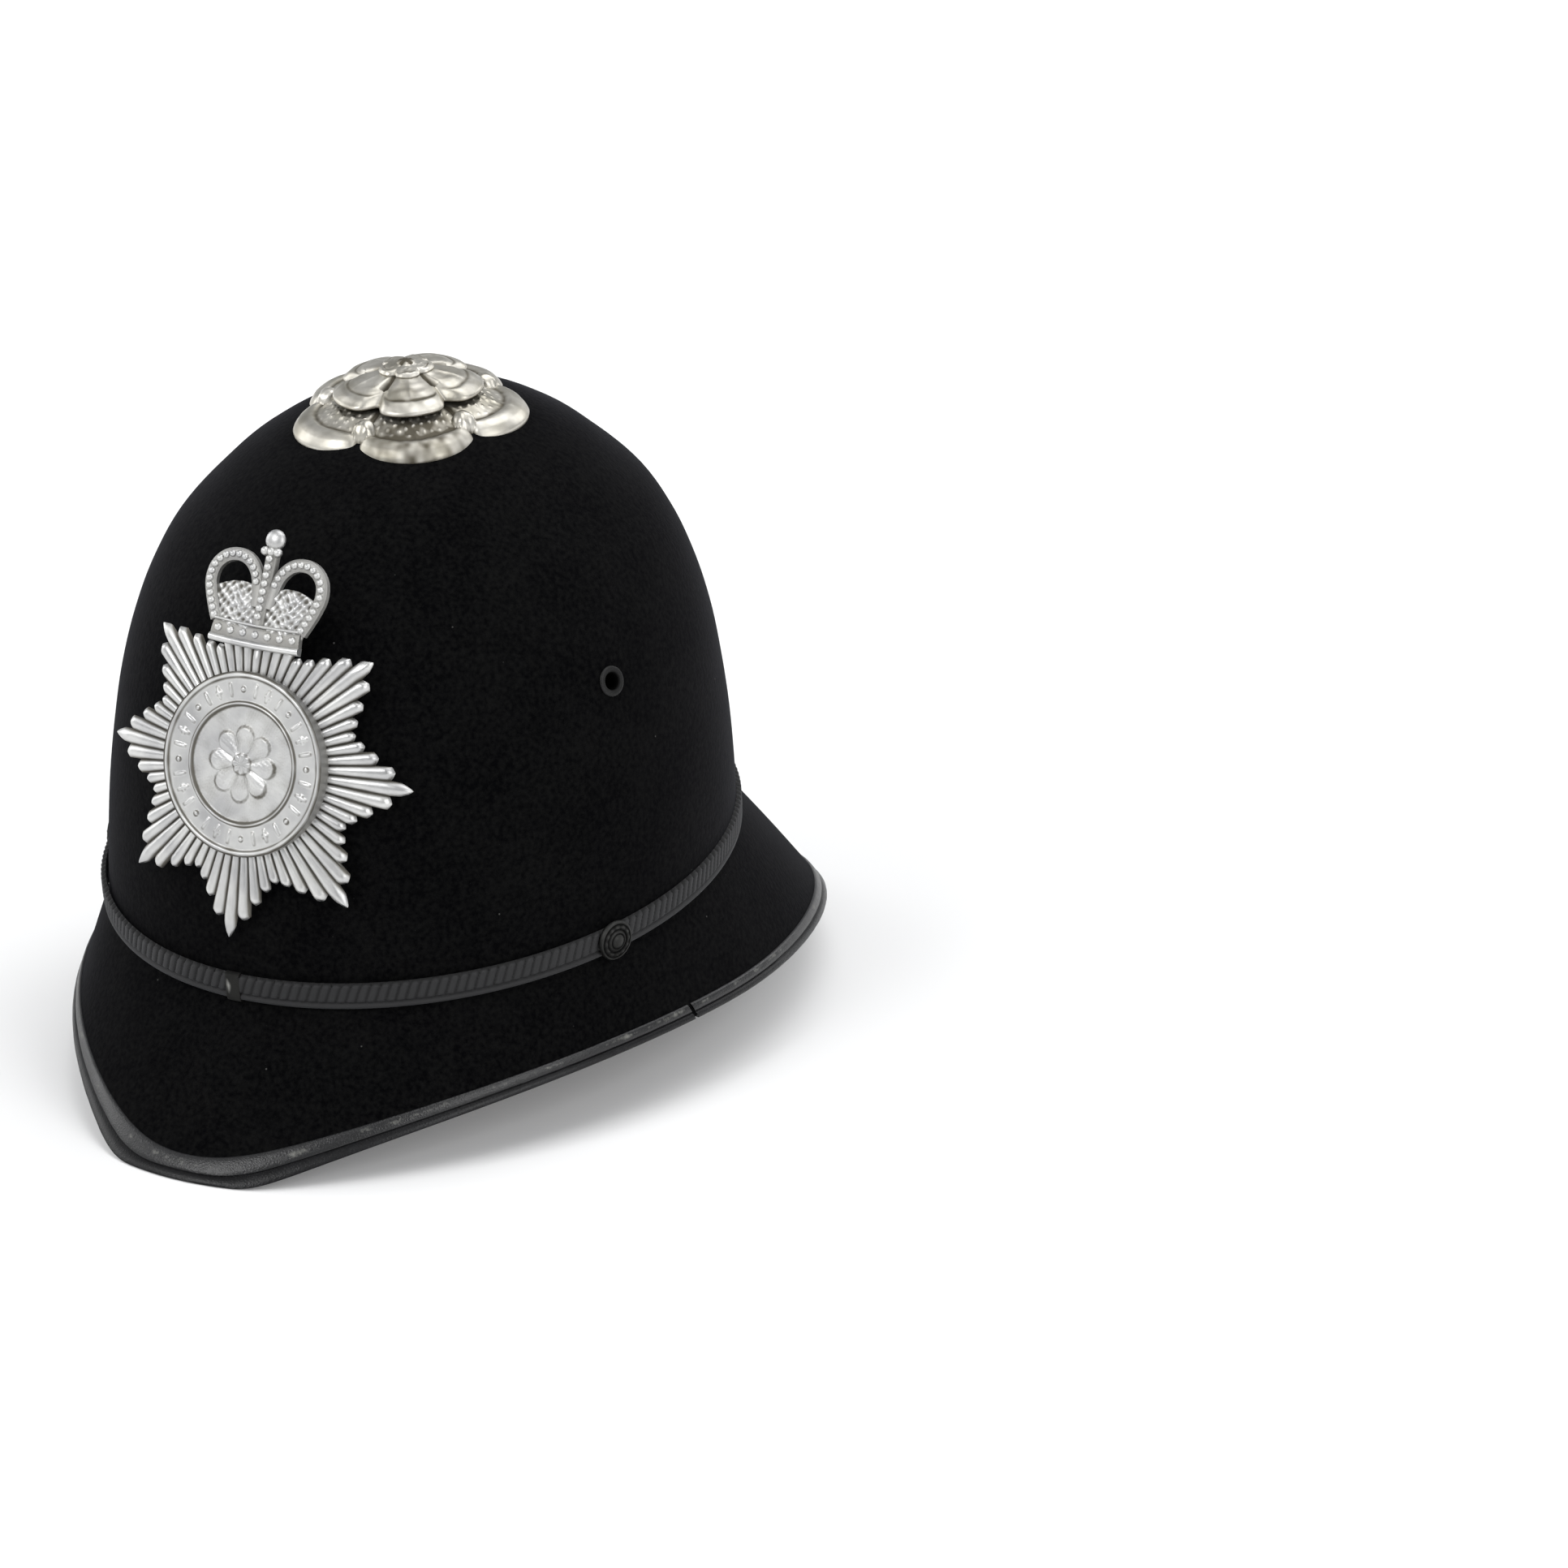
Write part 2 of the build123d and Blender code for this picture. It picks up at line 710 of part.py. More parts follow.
star_top = star_thickness + flute_height
disc_field_top = star_top + disc_rise
disc_rim_top = disc_field_top + disc_rim_height
with BuildPart() as badge_disc:
    with BuildSketch(badge_plane.offset(-cut_overrun)):
        Circle(disc_radius)
    extrude(amount=cut_overrun + disc_field_top)
    with BuildSketch(badge_plane.offset(disc_field_top)):
        Circle(disc_radius)
        Circle(disc_radius - disc_rim_width, mode=Mode.SUBTRACT)
        Circle(disc_field_radius + disc_rim_width / 2)
        Circle(disc_field_radius - disc_rim_width / 2, mode=Mode.SUBTRACT)
    extrude(amount=disc_rim_height)
    add(wrapped_skin(-2 * cut_overrun, 2 * cut_overrun + star_top), mode=Mode.SUBTRACT)

crown_pivot = badge_plane.from_local_coords((0, crown_base + crown_seat, star_top))
crown_back = Plane(origin=crown_pivot, x_dir=(1, 0, 0), z_dir=badge_plane.z_dir)
crown_back = crown_back.rotated((-crown_lean_back, 0, 0))
crown_badge_plane = Plane(
    origin=crown_back.from_local_coords((0, -crown_seat, 0)),
    x_dir=(1, 0, 0),
    z_dir=crown_back.z_dir,
)
crown_middle = crown_height * crown_cap_share
crown_arch_reach = crown_width / 4
crown_arch_rise = crown_height * crown_arch_share / 2
crown_cap_reach = crown_width * crown_cap_width_share / 2
crown_band_top_width = crown_base_width + crown_band_flare
with BuildPart() as badge_crown:
    with BuildSketch(crown_badge_plane):
        with BuildLine():
            Polyline(
                (-crown_base_width / 2, 0),
                (crown_base_width / 2, 0),
                (crown_band_top_width / 2, crown_band_height),
                (-crown_band_top_width / 2, crown_band_height),
                close=True,
            )
        make_face()
        for side in (1, -1):
            with Locations((side * crown_arch_reach, crown_middle)):
                Ellipse(crown_arch_reach, crown_arch_rise)
                Ellipse(
                    crown_arch_reach - crown_arch_thickness,
                    crown_arch_rise - crown_arch_thickness,
                    mode=Mode.SUBTRACT,
                )
        with BuildLine():
            Polyline(
                (-crown_base_width / 2, crown_band_height / 2),
                (crown_base_width / 2, crown_band_height / 2),
                (crown_cap_reach, crown_middle),
                (-crown_cap_reach, crown_middle),
                close=True,
            )
        make_face()
        with Locations((0, crown_height / 2)):
            Rectangle(finial_stem_width, crown_height)
        with Locations((0, crown_height + finial_radius)):
            Circle(finial_radius)
        with Locations((0, crown_height)):
            Rectangle(finial_radius, finial_radius)
    extrude(amount=crown_thickness)

# Lugs behind the star pass through the wall, and pins hold them inside the shell
lug_depth = depth_behind(lug_planes[0])
lug_length = lug_depth + lug_reach
pin_level = lug_depth + lug_reach / 2
with BuildPart() as badge_lugs:
    with BuildSketch(badge_plane.offset(-lug_length)):
        with Locations((lug_spread, 0), (-lug_spread, 0)):
            Circle(lug_radius)
    extrude(amount=lug_length)
    add(wrapped_skin(0, cut_overrun), mode=Mode.SUBTRACT)
    pin_plane = Plane(origin=badge_plane.origin, x_dir=badge_plane.x_dir, z_dir=badge_plane.y_dir)
    with BuildSketch(pin_plane):
        with Locations((lug_spread, pin_level), (-lug_spread, pin_level)):
            Circle(lug_hole_radius)
    extrude(amount=badge_pin_length, both=True, mode=Mode.SUBTRACT)

with BuildPart() as badge_pins:
    with BuildSketch(pin_plane):
        with Locations((lug_spread, pin_level), (-lug_spread, pin_level)):
            Circle(lug_hole_radius - badge_pin_fit)
    extrude(amount=badge_pin_length / 2, both=True)

# Headband and lining, hung inside the dome
sweatband_inner_inset = sweatband_drop_in + sweatband_thickness
sweatband_top = sweatband_foot + sweatband_width
lining_rises = [sweatband_top + gain for gain in lining_gains]
with BuildPart() as sweatband:
    add(dome_form(sweatband_drop_in))
    add(dome_form(sweatband_inner_inset), mode=Mode.SUBTRACT)
    add(band_slab(sweatband_foot, sweatband_width), mode=Mode.INTERSECT)

with BuildPart() as spacer_pads:
    with BuildSketch(band_plane.offset(pad_foot)):
        with PolarLocations(dome_width / 2, pad_count, start_angle=180 / pad_count):
            Rectangle(dome_width / 2, pad_length)
    extrude(amount=pad_width)
    add(shell_inside, mode=Mode.INTERSECT)
    add(dome_form(sweatband_drop_in), mode=Mode.SUBTRACT)


def crown_lining_form(inset):
    """The head's own crown, as a filled form drawn in by a given depth."""
    root_inset = sweatband_drop_in + lining_root_inset + inset
    base_width, base_length = dome_oval(sweatband_top / dome_height, lining_root_reach_share, root_inset)
    with BuildPart() as form:
        for rise, share in zip(lining_rises, lining_reach_shares):
            drop = inset * (rise - sweatband_top) / lining_gains[-1]
            with BuildSketch(band_plane.offset(rise - drop)):
                with Locations((0, dome_top_shift * rise / dome_height)):
                    Ellipse(base_width * share, base_length * share)
        loft()
    return form.part


with BuildPart() as crown_lining:
    add(crown_lining_form(0))
    add(crown_lining_form(lining_thickness), mode=Mode.SUBTRACT)
    lining_middle = (0, dome_top_shift * lining_rises[-1] / dome_height)
    with BuildSketch(band_plane.offset(tongue_root)):
        with Locations(lining_middle):
            with PolarLocations(dome_width / 4, tongue_count):
                Rectangle(dome_width / 2, tongue_gap)
            Circle(lace_opening_radius)
    extrude(amount=dome_height, mode=Mode.SUBTRACT)

with BuildPart() as lining_lace:
    with Locations(band_plane.offset(lining_rises[-1] + lace_radius)):
        with Locations(lining_middle):
            Torus(lace_ring_radius, lace_radius)

# Chin strap, drawn in a plane across the helmet that leans back from the posts to the floor
strap_post_x = (strap_outer_x + strap_inner_x) / 2
strap_reach = strap_drop + strap_thickness / 2
half_width = strap_width / 2
strap_lean = asin((post_point.Z - strap_floor_gap) / hypot(strap_reach, half_width))
strap_lean -= atan(half_width / strap_reach)
strap_plane = Plane(
    origin=(0, post_point.Y, post_point.Z),
    x_dir=(1, 0, 0),
    z_dir=(0, sin(strap_lean), cos(strap_lean)),
)
leg_run = (strap_chin_width / 2 - strap_post_x, strap_drop - strap_shoulder)
leg_length = hypot(*leg_run)
leg_way = (leg_run[0] / leg_length, leg_run[1] / leg_length)
leg_out = (leg_way[1], -leg_way[0])


def leg_point(along, out):
    """A point on the strap's left leg, by its distance from the shoulder and outwards."""
    return (
        strap_post_x + leg_way[0] * along + leg_out[0] * out,
        strap_shoulder + leg_way[1] * along + leg_out[1] * out,
    )


def leg_plane(along, out):
    """A plane across the left leg, with X outwards and Y across the strap's width."""
    return Plane(
        origin=strap_plane.from_local_coords(leg_point(along, out)),
        x_dir=strap_plane.x_dir * leg_out[0] + strap_plane.y_dir * leg_out[1],
        z_dir=strap_plane.x_dir * leg_way[0] + strap_plane.y_dir * leg_way[1],
    )


outer_layer = strap_fold_radius + strap_layer_gap + strap_thickness / 2
front_bar_out = outer_layer + strap_thickness / 2 + strap_layer_gap + buckle_bar_radius
buckle_along = buckle_place_share * leg_length
heel_bar = leg_point(buckle_along, 0)
front_bar = leg_point(buckle_along + buckle_length, front_bar_out)
tongue_lift = buckle_bar_radius + tongue_radius
bar_run = (front_bar[0] - heel_bar[0], front_bar[1] - heel_bar[1])
bar_span = hypot(*bar_run)
bar_way = (bar_run[0] / bar_span, bar_run[1] / bar_span)
tongue_heel = (heel_bar[0] + bar_way[1] * tongue_lift, heel_bar[1] - bar_way[0] * tongue_lift)
tongue_tip = (
    front_bar[0] + bar_way[1] * tongue_lift + bar_way[0] * tongue_overhang,
    front_bar[1] - bar_way[0] * tongue_lift + bar_way[1] * tongue_overhang,
)
strap_eyelet_radius = post_radius + strap_hinge_fit + strap_eyelet_wall

with BuildPart() as strap_short_half:
    with BuildSketch(strap_plane):
        with BuildLine():
            FilletPolyline(
                (strap_post_x, 0),
                (strap_post_x, strap_shoulder),
                heel_bar,
                radius=strap_shoulder_radius,
            )
        trace(line_width=strap_thickness)
        with Locations(heel_bar):
            Circle(strap_fold_radius)
            Circle(buckle_bar_radius, mode=Mode.SUBTRACT)
    extrude(amount=half_width, both=True)
    with BuildSketch(side_plane(1, strap_inner_x)):
        Circle(half_width)
    extrude(amount=strap_thickness)
    with BuildSketch(side_plane(1, strap_inner_x)):
        Circle(strap_eyelet_radius)
    extrude(amount=strap_thickness, mode=Mode.SUBTRACT)
    with BuildSketch(strap_plane):
        with Locations(heel_bar):
            Circle(strap_fold_radius)
    extrude(amount=strap_fold_slot / 2, both=True, mode=Mode.SUBTRACT)

chin_corner_along = leg_length - leg_out[1] * outer_layer / leg_way[1]
with BuildPart() as strap_long_half:
    with BuildSketch(strap_plane):
        with BuildLine():
            FilletPolyline(
                (-strap_post_x, 0),
                (-strap_post_x, strap_shoulder),
                (-strap_chin_width / 2, strap_drop),
                leg_point(chin_corner_along, outer_layer),
                leg_point(strap_tip_share * leg_length, outer_layer),
                radius=(strap_shoulder_radius, strap_chin_radius, strap_chin_radius),
            )
        trace(line_width=strap_thickness)
    extrude(amount=half_width, both=True)
    with BuildSketch(side_plane(-1, strap_inner_x)):
        Circle(half_width)
    extrude(amount=strap_thickness)
    with BuildSketch(side_plane(-1, strap_inner_x)):
        Circle(strap_eyelet_radius)
    extrude(amount=strap_thickness, mode=Mode.SUBTRACT)
    with BuildSketch(strap_plane):
        with BuildLine():
            Line(tongue_heel, tongue_tip)
        trace(line_width=2 * strap_hole_radius)
    extrude(amount=strap_hole_radius, both=True, mode=Mode.SUBTRACT)
    for number in range(1, strap_hole_count + 1):
        hole_plane = leg_plane(buckle_along + buckle_length + number * strap_hole_pitch, outer_layer)
        with BuildSketch(Plane(origin=hole_plane.origin, x_dir=hole_plane.y_dir, z_dir=hole_plane.x_dir)):
            Circle(strap_hole_radius)
        extrude(amount=strap_thickness, both=True, mode=Mode.SUBTRACT)

with BuildPart() as strap_end_eyelets:
    for side in (1, -1):
        with BuildSketch(side_plane(side, strap_inner_x)):
            Circle(strap_eyelet_radius)
            Circle(post_radius + strap_hinge_fit, mode=Mode.SUBTRACT)
        extrude(amount=strap_thickness)

buckle_inner = half_width + buckle_side_gap
with BuildPart() as buckle_frame:
    with BuildSketch(strap_plane):
        with Locations(heel_bar, front_bar):
            Circle(buckle_bar_radius)
    extrude(amount=buckle_inner, both=True)
    for side in (1, -1):
        with BuildSketch(strap_plane.offset(side * (buckle_inner + buckle_bar_radius))):
            with BuildLine():
                Line(heel_bar, front_bar)
            trace(line_width=2 * buckle_bar_radius)
            with Locations(heel_bar, front_bar):
                Circle(buckle_bar_radius)
        extrude(amount=buckle_bar_radius, both=True)

with BuildPart() as buckle_tongue:
    with BuildSketch(strap_plane):
        with BuildLine():
            Line(tongue_heel, tongue_tip)
        trace(line_width=2 * tongue_radius)
        with Locations(heel_bar):
            Circle(tongue_lift + tongue_radius)
            Circle(buckle_bar_radius, mode=Mode.SUBTRACT)
    extrude(amount=tongue_radius, both=True)

with BuildPart() as strap_keeper:
    layers = outer_layer + strap_thickness
    with BuildSketch(leg_plane(keeper_place_share * leg_length, outer_layer / 2)):
        Rectangle(layers + 2 * keeper_thickness, strap_width + 2 * keeper_thickness)
        Rectangle(layers, strap_width, mode=Mode.SUBTRACT)
    extrude(amount=keeper_width / 2, both=True)

for name, node in (
    ("felt_cover", felt_cover),
    ("shell", shell),
    ("brim_lining", brim_lining),
    ("front_edge_binding", front_edge_binding),
    ("rear_edge_binding", rear_edge_binding),
    ("hat_band", hat_band),
    ("band_keeper", band_keeper),
    ("vent_collar", vent_collar),
    ("rose_flange", rose_flange),
    ("rose_head", rose_head),
    ("rose_centre", rose_centre),
    ("rose_stem", rose_stem),
    ("stem_washer", stem_washer),
    ("stem_nut", stem_nut),
    ("badge_star", badge_star),
    ("badge_disc", badge_disc),
    ("badge_crown", badge_crown),
    ("badge_lugs", badge_lugs),
    ("badge_pins", badge_pins),
    ("sweatband", sweatband),
    ("spacer_pads", spacer_pads),
    ("crown_lining", crown_lining),
    ("lining_lace", lining_lace),
    ("strap_long_half", strap_long_half),
    ("strap_short_half", strap_short_half),
    ("strap_end_eyelets", strap_end_eyelets),
    ("buckle_frame", buckle_frame),
    ("buckle_tongue", buckle_tongue),
    ("strap_keeper", strap_keeper),
):
    node.part.label = name
    export_step(node.part, f"parts/{name}.step")

for word, side, plane in (("left", 1, eyelet_planes[0]), ("right", -1, eyelet_planes[1])):
    for name, solid in (
        (f"side_button_{word}", side_button(side)),
        (f"side_washer_{word}", side_washer(side)),
        (f"side_nut_{word}", side_nut(side)),
        (f"vent_eyelet_{word}", vent_eyelet(plane)),
        (f"eyelet_washer_{word}", eyelet_washer(plane)),
    ):
        solid.label = name
        export_step(solid, f"parts/{name}.step")
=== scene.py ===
# %% [markdown]
# # A custodian helmet
# The CAD frame holds every solid part of the helmet in its real place. This lesson dresses that frame:
# it works out the felt, the braid, the plate and the rose as surfaces, and gives each one a material.
# All sizes are real millimetres, turned to metres when they go into a mesh.

import bmesh
import bpy
import numpy as np
from mathutils import Matrix


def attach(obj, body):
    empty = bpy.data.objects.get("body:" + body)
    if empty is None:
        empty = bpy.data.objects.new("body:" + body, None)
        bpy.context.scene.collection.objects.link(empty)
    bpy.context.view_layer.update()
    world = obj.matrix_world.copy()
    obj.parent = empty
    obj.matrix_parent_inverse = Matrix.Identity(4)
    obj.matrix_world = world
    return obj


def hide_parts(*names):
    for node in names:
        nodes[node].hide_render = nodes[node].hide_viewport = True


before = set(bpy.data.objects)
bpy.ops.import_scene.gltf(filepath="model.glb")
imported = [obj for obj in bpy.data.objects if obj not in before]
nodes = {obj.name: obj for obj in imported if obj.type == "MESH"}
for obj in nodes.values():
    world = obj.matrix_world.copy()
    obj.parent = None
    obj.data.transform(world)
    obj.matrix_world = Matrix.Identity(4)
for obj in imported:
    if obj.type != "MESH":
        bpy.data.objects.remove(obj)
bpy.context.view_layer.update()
MM = 0.001
TURN = 2 * np.pi
print("solid parts in the frame:", len(nodes))


# %% Small helpers
def unit(way):
    """A direction, or rows of them, made one long."""
    return way / np.linalg.norm(way, axis=-1, keepdims=True)


def put(name, data, axes=np.eye(3), place=(0, 0, 0)):
    """A new object with three axes of its own, at a place in metres."""
    made = bpy.data.objects.new(name, data)
    bpy.context.scene.collection.objects.link(made)
    turn = np.eye(4)
    turn[:3, :3] = np.stack(axes, 1)
    turn[:3, 3] = place
    made.matrix_world = Matrix(turn.tolist())
    return made


# %% [markdown]
# ## The camera
# A camera is a place and a direction. The place is given by how far round the helmet it stands, how
# high and how far off. The direction is found by turning the camera until the middle of the helmet
# lands on its own pixel of the picture, which is a short loop of small corrections.

# %% Camera
PICTURE, SENSOR_MM = 1932, 36
AZIMUTH, ELEVATION, DISTANCE = np.radians(32.10), np.radians(20.135), 2073.6
FOCAL_PIXELS = 3.7704 * DISTANCE
AIM_POINT = np.array([0.0, 0.0, 110.0])
AIM_PIXEL = (551.05, 846.96)
AIM_STEPS = 12


def view_axes(forward):
    """The right and up directions of a level camera that looks a given way."""
    right = unit(np.cross(forward, [0, 0, 1]))
    return right, np.cross(right, forward)


outward = np.array([
    np.sin(AZIMUTH) * np.cos(ELEVATION), -np.cos(AZIMUTH) * np.cos(ELEVATION), np.sin(ELEVATION)])
wanted_right = (AIM_PIXEL[0] - PICTURE / 2) / FOCAL_PIXELS
wanted_up = (PICTURE / 2 - AIM_PIXEL[1]) / FOCAL_PIXELS
forward = -outward
for step in range(AIM_STEPS):
    right, up = view_axes(forward)
    ahead = -outward @ forward
    off_right = -outward @ right / ahead - wanted_right
    off_up = -outward @ up / ahead - wanted_up
    forward = unit(forward + off_right * right + off_up * up)
camera_data = bpy.data.cameras.new("photo_camera")
camera_data.sensor_width = SENSOR_MM
camera_data.lens = FOCAL_PIXELS / PICTURE * SENSOR_MM
camera_data.clip_end = 50
eye = AIM_POINT + DISTANCE * outward
bpy.context.scene.camera = put("photo_camera", camera_data, (*view_axes(forward), -forward), eye * MM)
bpy.context.scene.view_settings.view_transform = "Standard"
print("lens in mm:", round(camera_data.lens, 2))

# %% [markdown]
# ## Colours and nodes
# Colours are written as a painter reads them, in sRGB hex. Shaders want linear light, so one function
# turns one into the other. Every pattern, mix and bump in this file is a node made by one more function,
# with its options, its colour stops and its inputs. A pattern's scale is 1000 over its size in millimetres.

# %% Colour and node helpers
def linear(code):
    """sRGB hex to linear light: c/12.92 when dark, else ((c + 0.055)/1.055) to the power 2.4."""
    parts = np.array([int(code[i:i + 2], 16) / 255 for i in (1, 3, 5)])
    bright = ((parts + 0.055) / 1.055) ** 2.4
    return (*np.where(parts <= 0.04045, parts / 12.92, bright).tolist(), 1.0)


def fill(tree, node, inputs):
    """Sets or links a node's inputs by name or number. A node as a value stands for its first output."""
    for key, value in inputs.items():
        if isinstance(value, bpy.types.Node):
            value = value.outputs[0]
        if isinstance(value, bpy.types.NodeSocket):
            tree.links.new(value, node.inputs[key])
        else:
            node.inputs[key].default_value = value


def add(tree, kind, inputs=None, stops=(), **options):
    """Adds one node with its options, its colour stops as (place, sRGB hex), and its inputs."""
    made = tree.nodes.new("ShaderNode" + kind)
    for key, value in options.items():
        setattr(made, key, value)
    for _ in stops[2:]:
        made.color_ramp.elements.new(0.5)
    for element, (place, code) in zip(made.color_ramp.elements if stops else (), stops):
        element.position = place
        element.color = linear(code)
    fill(tree, made, inputs or {})
    return made


def empty_tree(owner):
    """The owner's node tree with nothing in it."""
    owner.use_nodes = True
    owner.node_tree.nodes.clear()
    return owner.node_tree


def start_material(name, settings):
    """A new material, its node tree, its surface shader, and the place in metres that its patterns read."""
    made = bpy.data.materials.new(name)
    tree = empty_tree(made)
    shader = add(tree, "BsdfPrincipled", settings)
    add(tree, "OutputMaterial", {"Surface": shader})
    return made, tree, shader, add(tree, "TexCoord").outputs["Object"]


print("mid grey in linear light:", round(linear("#808080")[0], 3))

# %% [markdown]
# ## Floor, backdrop and light
# The helmet stands on white paper in soft light from all round. The paper gets the helmet's shadow
# from its diffuse part. What the camera sees of it is lifted towards white by some glow of its own,
# which lights nothing, because only camera, mirror and glass rays meet it. The glow grows with distance,
# where the lamps no longer reach.

# %% Floor and backdrop
FLOOR_HALF, FLOOR_DROP = 6.0, 0.0002
GLOW_NEAR, GLOW_FAR, GLOW_FROM, GLOW_TO = 0.11, 0.95, 0.5, 2.2
WHITE = (1, 1, 1, 1)
paper = bpy.data.materials.new("studio_paper")
tree = empty_tree(paper)
path = add(tree, "LightPath").outputs
seen = add(tree, "Math", {0: path["Is Camera Ray"], 1: path["Is Glossy Ray"]}, operation="MAXIMUM")
seen = add(tree, "Math", {0: seen, 1: path["Is Transmission Ray"]}, operation="MAXIMUM")
matt = add(tree, "BsdfDiffuse", {"Color": linear("#e6e6e6")})
place = add(tree, "TexCoord").outputs["Object"]
far = add(tree, "VectorMath", {0: place}, operation="LENGTH").outputs["Value"]
lift = add(tree, "MapRange", {0: far, 1: GLOW_FROM, 2: GLOW_TO, 3: GLOW_NEAR, 4: GLOW_FAR})
glow = add(tree, "Emission", {"Color": WHITE, "Strength": lift})
both = add(tree, "AddShader", {0: matt, 1: glow})
add(tree, "OutputMaterial", {"Surface": add(tree, "MixShader", {0: seen, 1: matt, 2: both})})

floor_mesh = bpy.data.meshes.new("studio_floor")
floor_corners = [(x * FLOOR_HALF, y * FLOOR_HALF, -FLOOR_DROP) for x, y in ((-1, -1), (1, -1), (1, 1), (-1, 1))]
floor_mesh.from_pydata(floor_corners, [], [(0, 1, 2, 3)])
floor_mesh.materials.append(paper)
floor = put("studio_floor", floor_mesh)

world = bpy.data.worlds.new("studio_world")
tree = empty_tree(world)
room = add(tree, "Background", {"Color": linear("#f2f4f7"), "Strength": 0.42})
backdrop = add(tree, "Background", {"Color": WHITE, "Strength": 1.0})
direct = add(tree, "LightPath").outputs["Is Camera Ray"]
chosen = add(tree, "MixShader", {0: direct, 1: room.outputs[0], 2: backdrop.outputs[0]})
add(tree, "OutputWorld", {"Surface": chosen.outputs[0]})
bpy.context.scene.world = world

# %% [markdown]
# Each lamp is a large square in metres and watts that faces the helmet.

# %% Lights
LAMP_AIM = np.array([0.0, 0.0, 0.12])
for name, place, size, power in (
    ("key_light", (-0.7, -1.9, 1.7), 1.3, 30),
    ("fill_light", (1.9, -0.6, 1.1), 1.4, 20),
    ("top_light", (0.3, 0.5, 2.2), 1.8, 26),
    ("back_light", (0.9, 2.0, 1.2), 1.2, 12),
    ("left_light", (-2.1, -0.2, 0.9), 1.3, 14),
):
    lamp = bpy.data.lights.new(name, "AREA")
    lamp.size, lamp.energy = size, power
    back = unit(place - LAMP_AIM)
    side = unit(np.cross([0.0, 0.0, 1.0], back))
    put(name, lamp, (side, np.cross(back, side), back), place)
print("lamps:", len(bpy.data.lights))

# %% [markdown]
# ## Surfaces from numbers
# Every new piece is one or more grids of points. A grid's first and last rows or columns may repeat the
# same points, and welding joins them, so rings and tubes close and poles have no hole. Which way a closed
# grid faces is told by its signed volume, which is negative when it is inside out.

# %% Mesh helpers
WELD_METRES = 2e-6


def grid_faces(shape):
    """Four-cornered faces over every cell of one grid or of a stack of equal grids."""
    count, rows, columns = shape
    k, i, j = np.meshgrid(np.arange(count), np.arange(rows - 1), np.arange(columns - 1), indexing="ij")
    first = (k * rows + i) * columns + j
    return np.stack([first, first + 1, first + columns + 1, first + columns], -1).reshape(-1, 4)


def signed_volume(points, faces):
    """Sum of a . (b x c) / 6 over the triangles, which is positive when faces point outwards."""
    a, b, c, d = (points[faces[:, n]] for n in range(4))
    return (np.einsum("ij,ij->", a, np.cross(b, c)) + np.einsum("ij,ij->", a, np.cross(c, d))) / 6


def piece(name, grids, material, replaced=(), sharp=40, body="helmet"):
    """One object from grids. A grid is a dict with points in mm, and may have uv in mm and wear from 0 to 1: real
    wear and stains on the leathers, painted shade and highlights on the metals and the braid, and both on the
    binding.
    """
    points, faces, uvs, wears = [], [], [], []
    start = 0
    for grid in grids:
        stack = grid["points"].reshape(-1, *grid["points"].shape[-3:])
        shape = stack.shape[:3]
        flat, corners = stack.reshape(-1, 3), grid_faces(shape)
        if signed_volume(flat - flat.mean(0), corners) < 0:
            corners = corners[:, ::-1]
        points.append(flat)
        faces.append(corners + start)
        uvs.append(np.broadcast_to(grid.get("uv", np.zeros(2)), (*shape, 2)).reshape(-1, 2))
        wears.append(np.broadcast_to(grid.get("wear", 0.0), shape).reshape(-1))
        start += len(flat)
    points, faces = np.concatenate(points), np.concatenate(faces)
    mesh = bpy.data.meshes.new(name)
    mesh.from_pydata((points * MM).tolist(), [], faces.tolist())
    layer = mesh.uv_layers.new(name="cloth_way")
    layer.data.foreach_set("uv", (np.concatenate(uvs)[faces.reshape(-1)] * MM).astype(np.float32).reshape(-1))
    worn = mesh.attributes.new("wear", "FLOAT", "POINT")
    worn.data.foreach_set("value", np.concatenate(wears).astype(np.float32))
    welded = bmesh.new()
    welded.from_mesh(mesh)
    bmesh.ops.remove_doubles(welded, verts=welded.verts, dist=WELD_METRES)
    welded.to_mesh(mesh)
    welded.free()
    mesh.polygons.foreach_set("use_smooth", np.ones(len(mesh.polygons), bool))
    mesh.set_sharp_from_angle(angle=np.radians(sharp))
    mesh.materials.append(material)
    made = put(name, mesh)
    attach(made, body)
    if replaced:
        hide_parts(*replaced)
    print(name, "points:", len(mesh.vertices), "faces:", len(mesh.polygons))
    return made


def closed(rows):
    """A grid whose last row is joined to its first."""
    return np.concatenate([rows, rows[:1]])


def capped(rows, wear):
    """A grid whose first and last rows are each drawn in to one point, with its wear."""
    first, last = (np.broadcast_to(end.mean(0), end.shape)[None] for end in (rows[0], rows[-1]))
    wear = np.broadcast_to(wear, rows.shape[:2])
    return {"points": np.concatenate([first, rows, last]), "wear": np.pad(wear, ((1, 1), (0, 0)), mode="edge")}


def paired(*values):
    """Numbers of any shapes that fit each other, put side by side as places."""
    return np.stack(np.broadcast_arrays(*values), -1)


def run_of(points):
    """How far along a line each of its points is."""
    return np.concatenate([[0], np.cumsum(np.linalg.norm(np.diff(points, axis=0), axis=1))])


def looked_up(x, xs, table):
    """Each column of a table, read between its rows."""
    return np.stack([np.interp(x, xs, column) for column in np.transpose(table)], -1)


def framed(place, up, out, x, y, rise):
    """A place in a frame of its own: x to the left side, y up it and rise out from it."""
    x, y, rise = (value[..., None] for value in np.broadcast_arrays(x, y, rise))
    return place + x * [1.0, 0, 0] + y * up + rise * out


